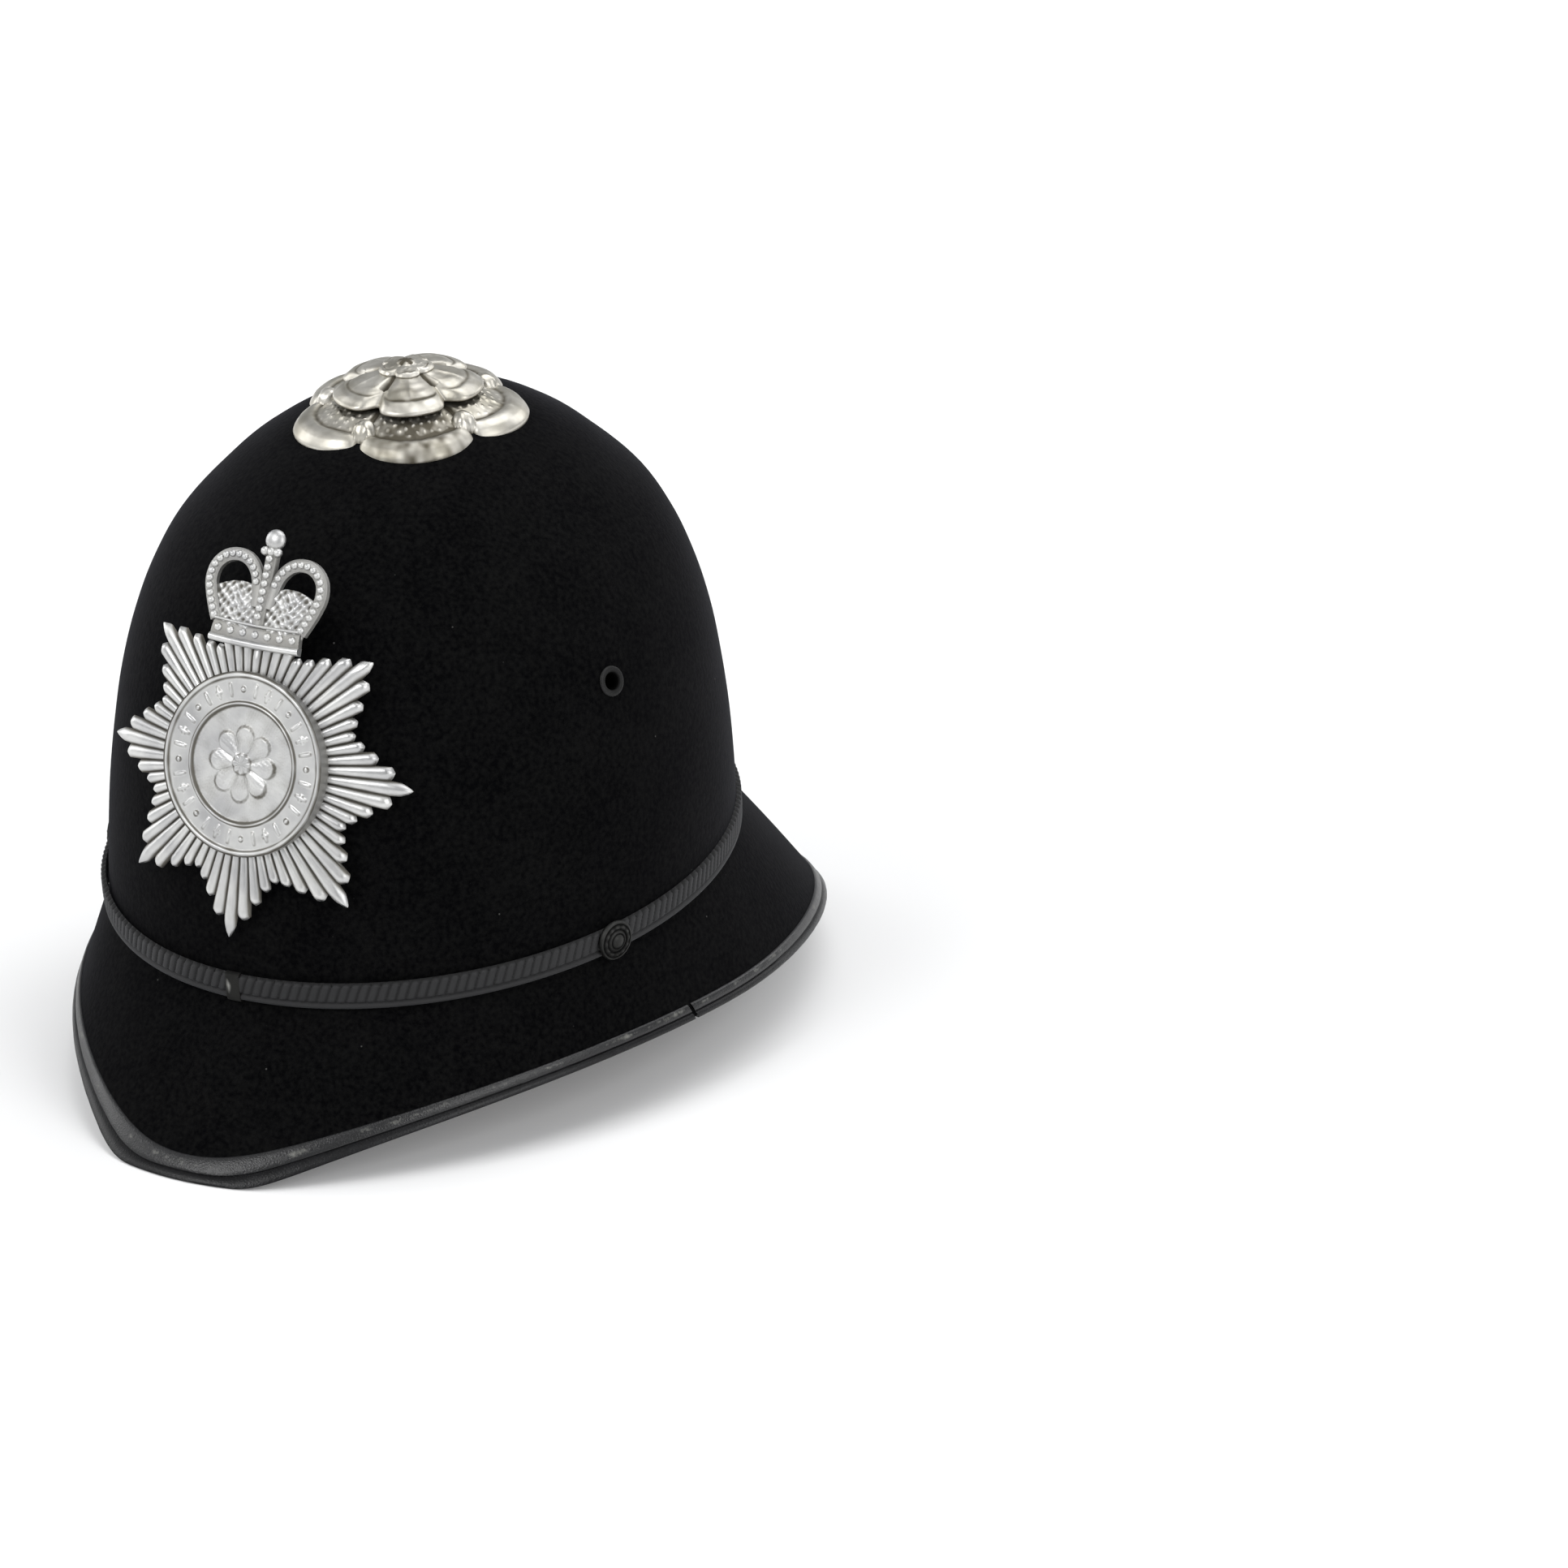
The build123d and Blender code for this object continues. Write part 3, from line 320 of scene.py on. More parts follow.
def turned(profile, place, way, sides):
    """A turned solid: profile rows are (height along the way, radius), swept round it."""
    way = unit(way)
    across = unit(np.cross([0.0, 0.0, 1.0], way))
    angle = np.linspace(0, TURN, sides + 1)[None, :, None]
    height, radius = np.array(profile, float).T[:, :, None, None]
    return place + way * height + radius * (np.cos(angle) * across + np.sin(angle) * np.cross(way, across))


def cut_holes(target, holes, sides, body="helmet"):
    """Cuts round holes, each a place, a way, a radius and a reach, out of a piece."""
    bits = [{"points": turned([(-reach, 0), (-reach, radius), (reach, radius), (reach, 0)], spot, way, sides)}
            for spot, way, radius, reach in holes]
    bit = piece(target.name + "_drill", bits, target.data.materials[0], body=body)
    cut = target.modifiers.new("holes", "BOOLEAN")
    cut.operation, cut.object, cut.solver = "DIFFERENCE", bit, "EXACT"
    holed = bpy.data.meshes.new_from_object(target.evaluated_get(bpy.context.evaluated_depsgraph_get()))
    target.modifiers.clear()
    target.data = holed
    bpy.data.objects.remove(bit)
    print(target.name, "faces with its holes:", len(holed.polygons))


def bell(x, middle, width):
    """A soft hump: e to the power of minus ((x - m) / w) squared."""
    return np.exp(-((x - middle) / width) ** 2)


def ridge(x, middle, half_width):
    """A smooth raised line: 1 at its middle, falling to 0 at its half width as (1 - d^2)^2."""
    return np.clip(1 - ((x - middle) / half_width) ** 2, 0, 1) ** 2


def unevenness(a, b, seed):
    """Sum of five slanted sine waves of a and b, from about -1 to 1, the same on every run."""
    total = 0
    for n, (p, q) in enumerate(((1.0, 1.7), (2.3, -1.1), (-1.9, 2.9), (3.7, 0.8), (0.6, 4.3))):
        total = total + np.sin(p * a + q * b + seed * (1.3 + n)) / (1 + 0.5 * n)
    return total / 2.9


def halved(still_before, shape, top):
    """Halving steps from 0 to a top find where a test stops being true."""
    low, high = np.zeros(shape), np.full(shape, top)
    for step in range(26):
        middle = (low + high) / 2
        before = still_before(middle)
        low, high = np.where(before, middle, low), np.where(before, high, middle)
    return (low + high) / 2


# %% [markdown]
# ## The helmet's form
# The dome is a stack of ovals that grow rounder towards the top, all parallel to the hat band, which
# leans forward. Below the band the ovals swell out and level off until the brim meets the floor. These
# are the same ovals as in the solid parts, so that the cloth lies on the body without gaps.

# %% Sizes of the form
DOME_LENGTH, DOME_WIDTH, DOME_HEIGHT = 225.0, 197.5, 148.5
DOME_CENTRE_Y, DOME_TOP_SHIFT, BAND_HEIGHT_ABOVE_FLOOR = -15.5, 12.5, 59.2
LEAN = np.radians(6.1)
OVAL_FADE = 0.9
RISES = np.array([0, 0.06, 0.16, 0.27, 0.38, 0.49, 0.60, 0.70, 0.79, 0.87, 0.94, 1.0, 1.05])
REACHES = np.array([1, 0.997, 0.988, 0.973, 0.950, 0.920, 0.874, 0.814, 0.735, 0.624, 0.506, 0.354, 0.14])
BRIM_LENGTH, BRIM_WIDTH, BRIM_WIDEST_Y, BRIM_SWELL = 330.0, 242.0, 23.0, 0.5
ARCH_HEIGHT, REST_DEPTH = 25.4, 2.0
ARCH_SHARES = np.array([(1, 0), (0.95, 0), (0.80, 1.12), (0.245, 1), (0, 1)])
FELT, SHELL, LINING, BINDING = 1.5, 3.0, 0.8, 0.8
WALL = FELT + SHELL + LINING
TOP_RISE, VENT_RADIUS = 1.05, 12.0


# %% Form functions
def smooth_table(x, xs, ys):
    """A curve through a table: on each span a cubic that leaves every point at the mean of its slopes."""
    slopes = np.gradient(ys, xs)
    i = np.clip(np.searchsorted(xs, x) - 1, 0, len(xs) - 2)
    span = xs[i + 1] - xs[i]
    t = (x - xs[i]) / span
    return ((1 + 2 * t) * (1 - t) ** 2 * ys[i] + t * (1 - t) ** 2 * span * slopes[i]
            + t * t * (3 - 2 * t) * ys[i + 1] + t * t * (t - 1) * span * slopes[i + 1])


def leaning(x, along, rise, from_y, from_z, lean):
    """From a leaning plane to the helmet: y = y0 + along cos - rise sin, z = z0 + along sin + rise cos."""
    return paired(x, from_y + along * np.cos(lean) - rise * np.sin(lean),
                  from_z + along * np.sin(lean) + rise * np.cos(lean))


def over_band(x, along, rise):
    """A place measured from the hat band's plane."""
    return leaning(x, along, rise, DOME_CENTRE_Y, BAND_HEIGHT_ABOVE_FLOOR, LEAN)


def over_crown(x, along, rise):
    """A place measured from the plane across the top of the dome, where the rose sits."""
    return over_band(x, along + DOME_TOP_SHIFT, rise + DOME_HEIGHT)


def band_oval(turn, out, rise):
    """A point round the foot of the dome, at a distance out and a height over the band's plane."""
    return over_band((DOME_WIDTH / 2 + out) * np.sin(turn), -(DOME_LENGTH / 2 + out) * np.cos(turn), rise)


def dome(rise, turn, out=0.0):
    """A dome point: an oval of half width m - e and half length m + e, turn 0 at the front."""
    mean = (DOME_LENGTH + DOME_WIDTH) / 4 * smooth_table(rise, RISES, REACHES)
    oval = (DOME_LENGTH - DOME_WIDTH) / 4 * (1 - OVAL_FADE * rise)
    along = rise * DOME_TOP_SHIFT - (mean + oval + out) * np.cos(turn)
    return over_band((mean - oval + out) * np.sin(turn), along, rise * (DOME_HEIGHT + out))


def brim(drop, turn, out=0.0):
    """A brim point: ovals from the band (drop 0) to the floor (drop 1), longer in front than behind."""
    swell = BRIM_SWELL * 4 * drop * (1 - drop) + out
    half_width = DOME_WIDTH / 2 * (1 - drop) + BRIM_WIDTH / 2 * drop + swell
    half_length = DOME_LENGTH / 2 * (1 - drop) + BRIM_LENGTH / 2 * drop + swell
    reach = half_length + np.where(np.cos(turn) > 0, 1, -1) * BRIM_WIDEST_Y * drop
    middle = DOME_CENTRE_Y * (1 - drop) + BRIM_WIDEST_Y * drop
    return leaning(half_width * np.sin(turn), -reach * np.cos(turn), 0.0,
                   middle, BAND_HEIGHT_ABOVE_FLOOR * (1 - drop), LEAN * (1 - drop))


share = np.linspace(0, 1, 400)[:, None]
bernstein = np.concatenate(
    [ways * share ** n * (1 - share) ** (4 - n) for n, ways in enumerate((1, 4, 6, 4, 1))], 1)
arch_line = bernstein @ (ARCH_SHARES * [BRIM_LENGTH / 2 - REST_DEPTH, ARCH_HEIGHT])


def arch_height(y):
    """How high the brim's edge stands over the floor at a distance y along the helmet."""
    return np.interp(np.abs(y), arch_line[::-1, 0], arch_line[::-1, 1])


def brim_drop(turn, out, lift):
    """The drop at which the brim is a given lift above its arched edge."""
    def above(drop):
        place = brim(drop, turn, out)
        return place[..., 2] > arch_height(place[..., 1]) + lift
    return halved(above, np.broadcast(turn, out, lift).shape, 1.1)


def brim_edge(turn, out, lift):
    """A point at a distance out from the felt's face and a lift above the arched edge."""
    return brim(brim_drop(turn, out, lift), turn, out)


full_turn = np.linspace(0, TURN, 361)
side_point = brim_edge(np.array([np.pi / 2]), BINDING, 0.0)[0]
print("brim's edge at the side:", side_point.round(1))

# %% [markdown]
# ## Wool felt
# The cover is wool felt, pressed and dyed black. The eye reads it as the darkest thing in the picture, with
# a faint cool bloom where the nap is seen edge on, and a few pale specks of lint. Sheen gives the bloom and
# a fine bump breaks up the light.

# %% Felt material
felt, tree, shader, place = start_material("wool_felt", {
    "Roughness": 0.92, "Sheen Weight": 0.08, "Sheen Roughness": 0.35, "Sheen Tint": linear("#c4c4d0"),
    "Specular IOR Level": 0.035})
CLOUD_MM, NAP_MM, FIBRE_MM, LINT_CELL_MM = 22.0, 1.6, 0.35, 11.0
cloud, nap, fibre = (add(tree, "TexNoise", {"Vector": place, "Scale": 1000 / lump, "Detail": detail})
                     for lump, detail in ((CLOUD_MM, 4.0), (NAP_MM, 3.0), (FIBRE_MM, 2.0)))
depth = add(tree, "Math", {0: cloud, 1: 0.35, 2: nap}, operation="MULTIPLY_ADD")
black = add(tree, "ValToRGB", {0: depth}, [(0.5, "#020203"), (0.88, "#0e0e0e")])
lint = add(tree, "TexVoronoi", {"Vector": place, "Scale": 1000 / LINT_CELL_MM})
speck = add(tree, "MapRange", {0: lint, 1: 0.012, 2: 0.034, 3: 1.0, 4: 0.0})
pile = add(tree, "Bump", {"Strength": 0.55, "Distance": 0.25 * MM, "Height": nap})
linted = add(tree, "Mix", {"Factor": speck, 6: black, 7: linear("#484846")}, data_type="RGBA").outputs[2]
fill(tree, shader, {
    "Base Color": linted,
    "Normal": add(tree, "Bump", {"Strength": 0.4, "Distance": 0.1 * MM, "Height": fibre, "Normal": pile})})
print("felt nap drawn at", NAP_MM, "mm, coarser than the real fibre so that it shows")

# %% [markdown]
# ## The felt cover
# The cover is one closed skin, 1.5 mm thick. It runs from the rim of the vent down the dome and the brim to
# the edge, and back up inside. It is drawn as a grid of rows round the helmet, with the rows closer
# together where the dome turns over at the top.

# %% Felt cover
DENT_MM = 0.12


def skin_rows(out, dome_rows=74, brim_rows=30):
    """Rows of points from the vent's rim down to the brim's edge, on a face moved out by a given depth."""
    turn = full_turn[None, :]
    rim_rise = TOP_RISE * (DOME_HEIGHT + out) - DOME_HEIGHT
    rim = over_crown(VENT_RADIUS * np.sin(turn), -VENT_RADIUS * np.cos(turn), rim_rise)
    rise = TOP_RISE * np.sin(np.linspace(np.pi / 2, 0, dome_rows))[:, None]
    drop = np.linspace(0, 1, brim_rows)[1:, None] * brim_drop(turn, out, BINDING)
    return np.concatenate([rim, dome(rise, turn, out), brim(drop, turn, out)])


outer_rows, inner_rows = skin_rows(0.0), skin_rows(-FELT)
dent = unevenness(full_turn[None, :] * 2, np.linspace(0, 9, len(outer_rows))[:, None], 2.0)
fade = np.sin(np.linspace(0, np.pi, len(outer_rows)))[:, None] ** 0.5
outer_rows[..., 0] += DENT_MM * dent * fade * np.sin(full_turn)[None, :]
felt_cover = piece("felt_cover_skin", [{"points": closed(np.concatenate([outer_rows, inner_rows[::-1]]))}],
                   felt, ["felt_cover"], 60)

# %% [markdown]
# Fittings pass through the felt: the two posts, the two vent eyelets and the lugs of the plate. One
# Boolean takes all the holes out, so that the eyelets look through into the dark.

# %% Holes in the felt
LEFT_WAY, MIRROR = np.array([1.0, 0, 0]), np.array([-1.0, 1.0, 1.0])
BOTH_SIDES = (("left", np.ones(3)), ("right", MIRROR))
EYELET_PLACE, EYELET_WAY = np.array([87.3646, -42.8852, 141.3551]), np.array([0.92418, -0.26565, 0.27445])
POST_PLACE = np.array([0.0, -54.7467, 59.4308])
PLATE_PLACE, PLATE_WAY = np.array([0.0, -117.330, 122.538]), np.array([0.0, -0.97126, 0.23803])
EYELET_HOLE, POST_HOLE, POST_FACE_X, LUG_HOLE, LUG_SPREAD, LUG_DEPTH = 3.4, 2.1, 92, 1.7, 30.0, 6
cut_holes(felt_cover, [
    *((EYELET_PLACE * flip, EYELET_WAY * flip, EYELET_HOLE, 12) for word, flip in BOTH_SIDES),
    *((POST_PLACE + LEFT_WAY * POST_FACE_X * side, LEFT_WAY * side, POST_HOLE, 14) for side in (1, -1)),
    *((PLATE_PLACE + [LUG_SPREAD * side, LUG_DEPTH, 0], PLATE_WAY, LUG_HOLE, 18) for side in (1, -1)),
], 32)

# %% [markdown]
# ## Patent binding
# The brim's edge is bound in black patent leather: a flat strip outside, a stitched groove, and a roll along
# the lower edge. Patent leather is glossy, so it shows as a grey line where it mirrors the room. The gloss
# has rubbed through to grey on the crests, in patches, which the wear value and noise set together. Where the
# wear value is low, in the groove and on the roll, the gloss is turned down, which paints shade there.

# %% Binding material
patent, tree, shader, place = start_material("patent_leather", {})
SCUFF_MM, CRACK_MM = 9.0, 0.9
crest = add(tree, "Attribute", attribute_name="wear").outputs["Fac"]
scuff = add(tree, "TexNoise", {"Vector": place, "Scale": 1000 / SCUFF_MM, "Detail": 6.0, "Roughness": 0.7})
rubbed = add(tree, "Math", {0: crest, 1: scuff}, operation="MULTIPLY")
shown = add(tree, "MapRange", {0: rubbed, 1: 0.51, 2: 0.66, 3: 0.0, 4: 1.0})
crack = add(tree, "TexVoronoi", {"Vector": place, "Scale": 1000 / CRACK_MM}, feature="DISTANCE_TO_EDGE")
skin = add(tree, "ValToRGB", {0: scuff}, [(0.3, "#0b0b0c"), (0.75, "#171719")])
cracked = add(tree, "Bump", {"Strength": 0.8, "Distance": 0.15 * MM, "Height": crack})
fill(tree, shader, {
    "Base Color": add(tree, "Mix", {"Factor": shown, 6: skin, 7: linear("#6e6e69")}, data_type="RGBA").outputs[2],
    # Painted shade: the gloss is turned down where the wear value is low.
    "Specular IOR Level": add(tree, "MapRange", {0: crest, 1: 0.0, 2: 0.4, 3: 0.06, 4: 0.5}),
    "Roughness": add(tree, "MapRange", {0: shown, 1: 0.0, 2: 1.0, 3: 0.36, 4: 0.6}),
    "Normal": add(tree, "Bump", {"Strength": 0.5, "Distance": 0.3 * MM, "Height": scuff, "Normal": cracked})})
print("scuffs about", SCUFF_MM, "mm long")

# %% [markdown]
# The binding is one profile carried round the edge. A profile row is a distance out from the felt, a lift
# above the edge, and how worn that line is, which also sets how much shade is painted there by turning the gloss
# down.

# %% Front and rear binding
BINDING_PROFILE = np.array([
    (0.04, 5.36, 0.1), (0.45, 5.38, 0.5), (0.72, 5.05, 0.9), (0.80, 4.45, 1.0), (0.80, 3.70, 0.9),
    (0.72, 3.05, 0.6), (0.50, 2.70, 0.2), (0.12, 2.50, 0.0), (0.10, 2.30, 0.0), (0.42, 2.14, 0.05),
    (0.70, 1.80, 0.12), (0.80, 1.30, 0.22), (0.78, 0.80, 0.18), (0.60, 0.35, 0.1), (0.20, 0.06, 0.1),
    (-0.60, 0.0, 0.1), (-WALL / 2, 0.0, 0.0), (-WALL - 0.1, 0.0, 0.1), (-WALL - 0.60, 0.25, 0.3),
    (-WALL - 0.78, 0.90, 0.3), (-WALL - 0.80, 2.60, 0.1), (-WALL - 0.78, 4.90, 0.1),
    (-WALL - 0.50, 5.36, 0.1), (-WALL - 0.04, 5.30, 0.0), (-WALL - 0.02, 0.84, 0.0), (0.0, 0.84, 0.0)])
BINDING_JOIN_Y, BINDING_GAP, RIPPLE_MM = -28.0, 1.6, 0.05


def binding_strip(first_turn, last_turn, count):
    """The profile carried round the brim's edge from one turn to another, with both ends closed."""
    turn = np.linspace(first_turn, last_turn, count)[:, None]
    out, lift, wear = np.moveaxis(closed(BINDING_PROFILE)[None], -1, 0)
    ripple = RIPPLE_MM * unevenness(turn * 40, lift, 5.0) * (out > 0.3)
    return capped(brim_edge(turn, np.minimum(out + ripple, BINDING), lift), wear)


edge_turns = np.linspace(0, np.pi, 2001)
edge_ys = brim_edge(edge_turns, BINDING, 1.0)[:, 1]
for word, side, full, count in (("front", -1, 0, 361), ("rear", 1, TURN, 441)):
    end = np.interp(BINDING_JOIN_Y + side * BINDING_GAP / 2, edge_ys, edge_turns)
    piece(word + "_binding", [binding_strip(side * end, full - side * end, count)], patent,
          [word + "_edge_binding"], 50)

# %% [markdown]
# ## Braid
# The hat band is a plaited worsted braid. Slanted strands cross its upper part and stand up as small teeth
# along its top edge, and a smooth corded roll runs along its foot. The strands are real relief here,
# because they catch the light one by one; only the yarn on them is left to the shader.

# %% Braid material
braid, tree, shader, place = start_material("worsted_braid", {
    "Roughness": 0.72, "Sheen Weight": 0.12, "Sheen Roughness": 0.4, "Sheen Tint": linear("#b5b8c0"),
    "Specular IOR Level": 0.35})
YARN_MM, FADE_MM = 0.5, 25.0
along = add(tree, "UVMap", uv_map="cloth_way")
yarn = add(tree, "TexWave", {"Vector": along, "Scale": 628 / YARN_MM, "Distortion": 1.5, "Detail": 1.0},
           wave_type="BANDS", bands_direction="DIAGONAL").outputs["Fac"]
fade = add(tree, "TexNoise", {"Vector": place, "Scale": 1000 / FADE_MM, "Detail": 3.0})
worn = add(tree, "Attribute", attribute_name="wear").outputs["Fac"]
# The wear value paints the crests of the strands and the roll lighter and the low parts between them darker:
# painted shade.
tone = add(tree, "Math", {0: fade, 1: 0.35, 2: worn}, operation="MULTIPLY_ADD")
fill(tree, shader, {
    "Base Color": add(tree, "ValToRGB", {0: tone}, [(0.15, "#060606"), (0.7, "#171718"), (1.15, "#242425")]),
    "Normal": add(tree, "Bump", {"Strength": 0.4, "Distance": 0.1 * MM, "Height": yarn})})
print("yarn", YARN_MM, "mm")

# %% Hat band
BAND_FOOT, BAND_WIDTH, BAND_FIT = 0.4, 8.8, 0.3
STRAND_PITCH, STRAND_SLANT, ROLL_SHARE = 3.1, -0.7, 0.26
BRAID_BASE, ROLL_HEIGHT, PLAIT_BASE, STRAND_HEIGHT = 0.75, 1.05, 0.35, 0.85
TOOTH_DEPTH, TOOTH_FROM = 1.3, 0.8
band_turn = np.linspace(0, TURN, 1701)
band_run = run_of(band_oval(band_turn, 1.0, 0.0))
strand_count = round(band_run[-1] / STRAND_PITCH)
strand_phase = band_run / band_run[-1] * strand_count
height = np.linspace(0, 1, 25)[None, :]
slant = np.abs((strand_phase[:, None] + STRAND_SLANT * (height - ROLL_SHARE) / 0.7) % 1 - 0.5) * 2
strand = np.sqrt(np.clip(1 - (slant * 0.98) ** 2.2, 0, 1))
roll = np.sqrt(np.clip(1 - ((height - ROLL_SHARE / 2) / (ROLL_SHARE / 2)) ** 2, 0, 1))
plait = np.clip((height - ROLL_SHARE) / 0.08, 0, 1) * np.clip((1.02 - height) / 0.1, 0, 1) ** 0.5
in_roll = height < ROLL_SHARE
relief = BRAID_BASE + np.where(in_roll, ROLL_HEIGHT * roll, plait * (PLAIT_BASE + STRAND_HEIGHT * strand))
tooth = np.where(height > TOOTH_FROM, (strand - 1) * TOOTH_DEPTH * (height - TOOTH_FROM) / (1 - TOOTH_FROM), 0)
turns = band_turn[:, None]
front = band_oval(turns, relief, BAND_FOOT + BAND_WIDTH * height + tooth)
back = band_oval(turns, BAND_FIT, BAND_FOOT + BAND_WIDTH * np.array([[1.0, 0.5, 0.0]]) + 0 * turns)
braid_rows = np.concatenate([front, back, front[:, :1]], 1)
# Painted shade: darker between the strands and beside the roll, lighter on their crests.
wear = np.where(in_roll, 0.35 + 0.5 * roll, 0.95 * strand ** 1.5 * plait)
uv = paired(band_run[:, None], 0.4 * np.arange(braid_rows.shape[1]))
piece("braid_band", [{"points": braid_rows, "uv": uv, "wear": np.pad(wear, ((0, 0), (0, 4)))}],
      braid, ["hat_band"], 55)
print("strands round the band:", strand_count)

# %% [markdown]
# ## Metals
# The plate and the rose are die-struck brass with white nickel plating. Nickel mirrors the white room, so it
# looks pale grey. Their hollows are painted dark in a warm tarnish tone, which stands for the shade that falls
# in them as well as for grime. Each vertex carries how dark it is painted, and the shader mixes the dark colour
# in there.

# %% Metal materials
PATCH_MM = 1000 / 90


def struck_metal(name, bright, dimmer, darkening, rough, grain_mm):
    """A plated metal: patchy between two tones, mixed towards the darkening colour where the wear value is high:
    painted shade in the hollows of the plate, the rose, the buttons and the eyelets, and the black enamel of the
    keeper.
    """
    made, tree, shader, place = start_material(name, {"Metallic": 1.0})
    patch, grain = (add(tree, "TexNoise", {"Vector": place, "Scale": 1000 / lump, "Detail": detail})
                    for lump, detail in ((PATCH_MM, 5.0), (grain_mm, 2.0)))
    hollow = add(tree, "Attribute", attribute_name="wear").outputs["Fac"]
    depth = add(tree, "Math", {0: patch, 1: 0.5, 2: hollow}, operation="MULTIPLY_ADD")
    tone = add(tree, "ValToRGB", {0: patch}, [(0.35, dimmer), (0.62, bright)])
    dark = add(tree, "MapRange", {0: depth, 1: 0.45, 2: 1.1, 3: 0.0, 4: 0.9})
    fill(tree, shader, {
        "Base Color": add(tree, "Mix", {"Factor": dark, 6: tone, 7: linear(darkening)}, data_type="RGBA").outputs[2],
        "Roughness": add(tree, "MapRange", {0: depth, 1: 0.2, 2: 1.2, 3: rough, 4: rough + 0.3}),
        "Normal": add(tree, "Bump", {"Strength": 0.35, "Distance": 0.1 * MM, "Height": grain})})
    return made


# The third colour is the darkening: painted shade with a warm tarnish tone for the hollows, and for the keeper
# its black enamel.
plate_nickel = struck_metal("struck_nickel", "#d2d2d0", "#bababa", "#57534a", 0.36, 0.6)
rose_nickel = struck_metal("rose_nickel", "#cfccc4", "#a9a599", "#4b4537", 0.36, 0.8)
steel = struck_metal("plain_steel", "#a9a9a6", "#8b8b88", "#3f3b36", 0.36, 0.4)
brass = struck_metal("satin_brass", "#c9a565", "#a98648", "#4b3a1e", 0.34, 0.4)
button_plating = struck_metal("worn_button_plating", "#434342", "#2a2a29", "#0d0d0d", 0.45, 0.5)
eyelet_nickel = struck_metal("dull_eyelet_nickel", "#303030", "#232323", "#0e0e0e", 0.45, 0.5)
keeper_enamel = struck_metal("black_keeper_enamel", "#9a9a96", "#6c6c69", "#060607", 0.38, 0.6)
buckle_nickel = struck_metal("buckle_nickel", "#cfcfcb", "#adadaa", "#4a463d", 0.28, 0.4)
print("materials so far:", len(bpy.data.materials))

# %% [markdown]
# ## The star
# The plate's star has eight rays of eight ribs each, struck as one sheet bent round the dome. In polar form
# the whole star is two formulas: how far out each rib reaches, longest on the ray, and how its back
# rounds from one groove to the next.

# %% Star
PLATE_UP = np.array([0.0, 0.23803, 0.97126])
WRAP_RADIUS = 165.0
STAR_TIP, STAR_VALLEY, STAR_NARROWING, RAYS, RIBS_PER_RAY = 55.0, 38.5, 1.5, 8, 8
STAR_SHEET, RIB_HEIGHT, CROWN_SEAT_UP, START_RADIUS = 1.2, 0.7, 38.0, 24.0
RIBS, STEPS_PER_RIB, GROOVE_DEPTH, BACK_SHADE, CROWN_SECTOR = RAYS * RIBS_PER_RAY, 12, 0.35, 0.7, 0.3
TIP_MM, RAY_TIP_MM, TIP_SHEET = 1.3, 3.4, 0.35


def on_plate(x, y, rise):
    """A place on the flat plane behind the plate: x to the left side, y up it, rise out from it."""
    return framed(PLATE_PLACE, PLATE_UP, PLATE_WAY, x, y, rise)


def on_wrapped_plate(x, y, rise):
    """The same, bent round an upright cylinder: depth = sqrt((R + rise)^2 - x^2) - R."""
    return on_plate(x, y, np.sqrt((WRAP_RADIUS + rise) ** 2 - x ** 2) - WRAP_RADIUS)


def rib_reach(turn):
    """Length of a rib: the valley's, plus the rest of the ray times (1 - distance off the ray)^1.5."""
    off_ray = np.abs((turn * RAYS / TURN + 0.5) % 1 - 0.5) * 2
    return STAR_VALLEY + (STAR_TIP - STAR_VALLEY) * (1 - off_ray) ** STAR_NARROWING


turn = np.linspace(0, TURN, RIBS * STEPS_PER_RIB + 1)
rib_number = np.floor(turn / TURN * RIBS + 0.5)
off_rib = (turn / TURN * RIBS - rib_number) * 2
on_ray = (rib_number % RIBS_PER_RAY == 0) * 1.0
reach = rib_reach(rib_number / RIBS * TURN) - (TIP_MM + RAY_TIP_MM * on_ray) * np.abs(off_rib) ** 1.3
crown_limit = CROWN_SEAT_UP / np.maximum(np.sin(turn), CROWN_SECTOR)
reach = np.where(np.sin(turn) > CROWN_SECTOR, np.minimum(reach, crown_limit), reach)
ribbed = np.clip(1 - np.abs(off_rib) ** 2.4, 0, 1)
ways = np.linspace(0, 1, 26)[:, None]
radius = START_RADIUS + (reach - START_RADIUS) * ways
tip_round = np.clip((1 - ways) * (reach - START_RADIUS) / (1.3 + 3.5 * on_ray), 0, 1) ** 0.5
sheet = STAR_SHEET * (TIP_SHEET + (1 - TIP_SHEET) * tip_round)
rise = sheet + RIB_HEIGHT * ribbed * tip_round - GROOVE_DEPTH * (1 - ribbed)
front = on_wrapped_plate(radius * np.cos(turn), radius * np.sin(turn), rise)
back = on_wrapped_plate(radius[::-5] * np.cos(turn), radius[::-5] * np.sin(turn), 0.0)
# Painted shade: the grooves between the ribs are dark, and so are the star's back and the edges of its tips; the
# unevenness on top is random grime.
uneven_grime = 0.16 * unevenness(radius * np.cos(turn) * 0.21, radius * np.sin(turn) * 0.21, 6.0)
hollow = np.clip((1 - ribbed) ** 1.6 * 1.3 + 0.08 + uneven_grime, 0, 1)
hollow = np.pad(hollow, ((0, len(back) + 1), (0, 0)), constant_values=BACK_SHADE)
piece("fluted_star", [{"points": closed(np.concatenate([front, back])), "wear": hollow}],
      plate_nickel, ["badge_star"], 48)

# %% [markdown]
# ## The disc
# A raised disc sits on the star: an outer rim, a ring with small marks, a raised line, and a field. The
# marks are plain beads and bars and the field has a simple rosette, all worked out as a height over the
# disc at each radius and turn.

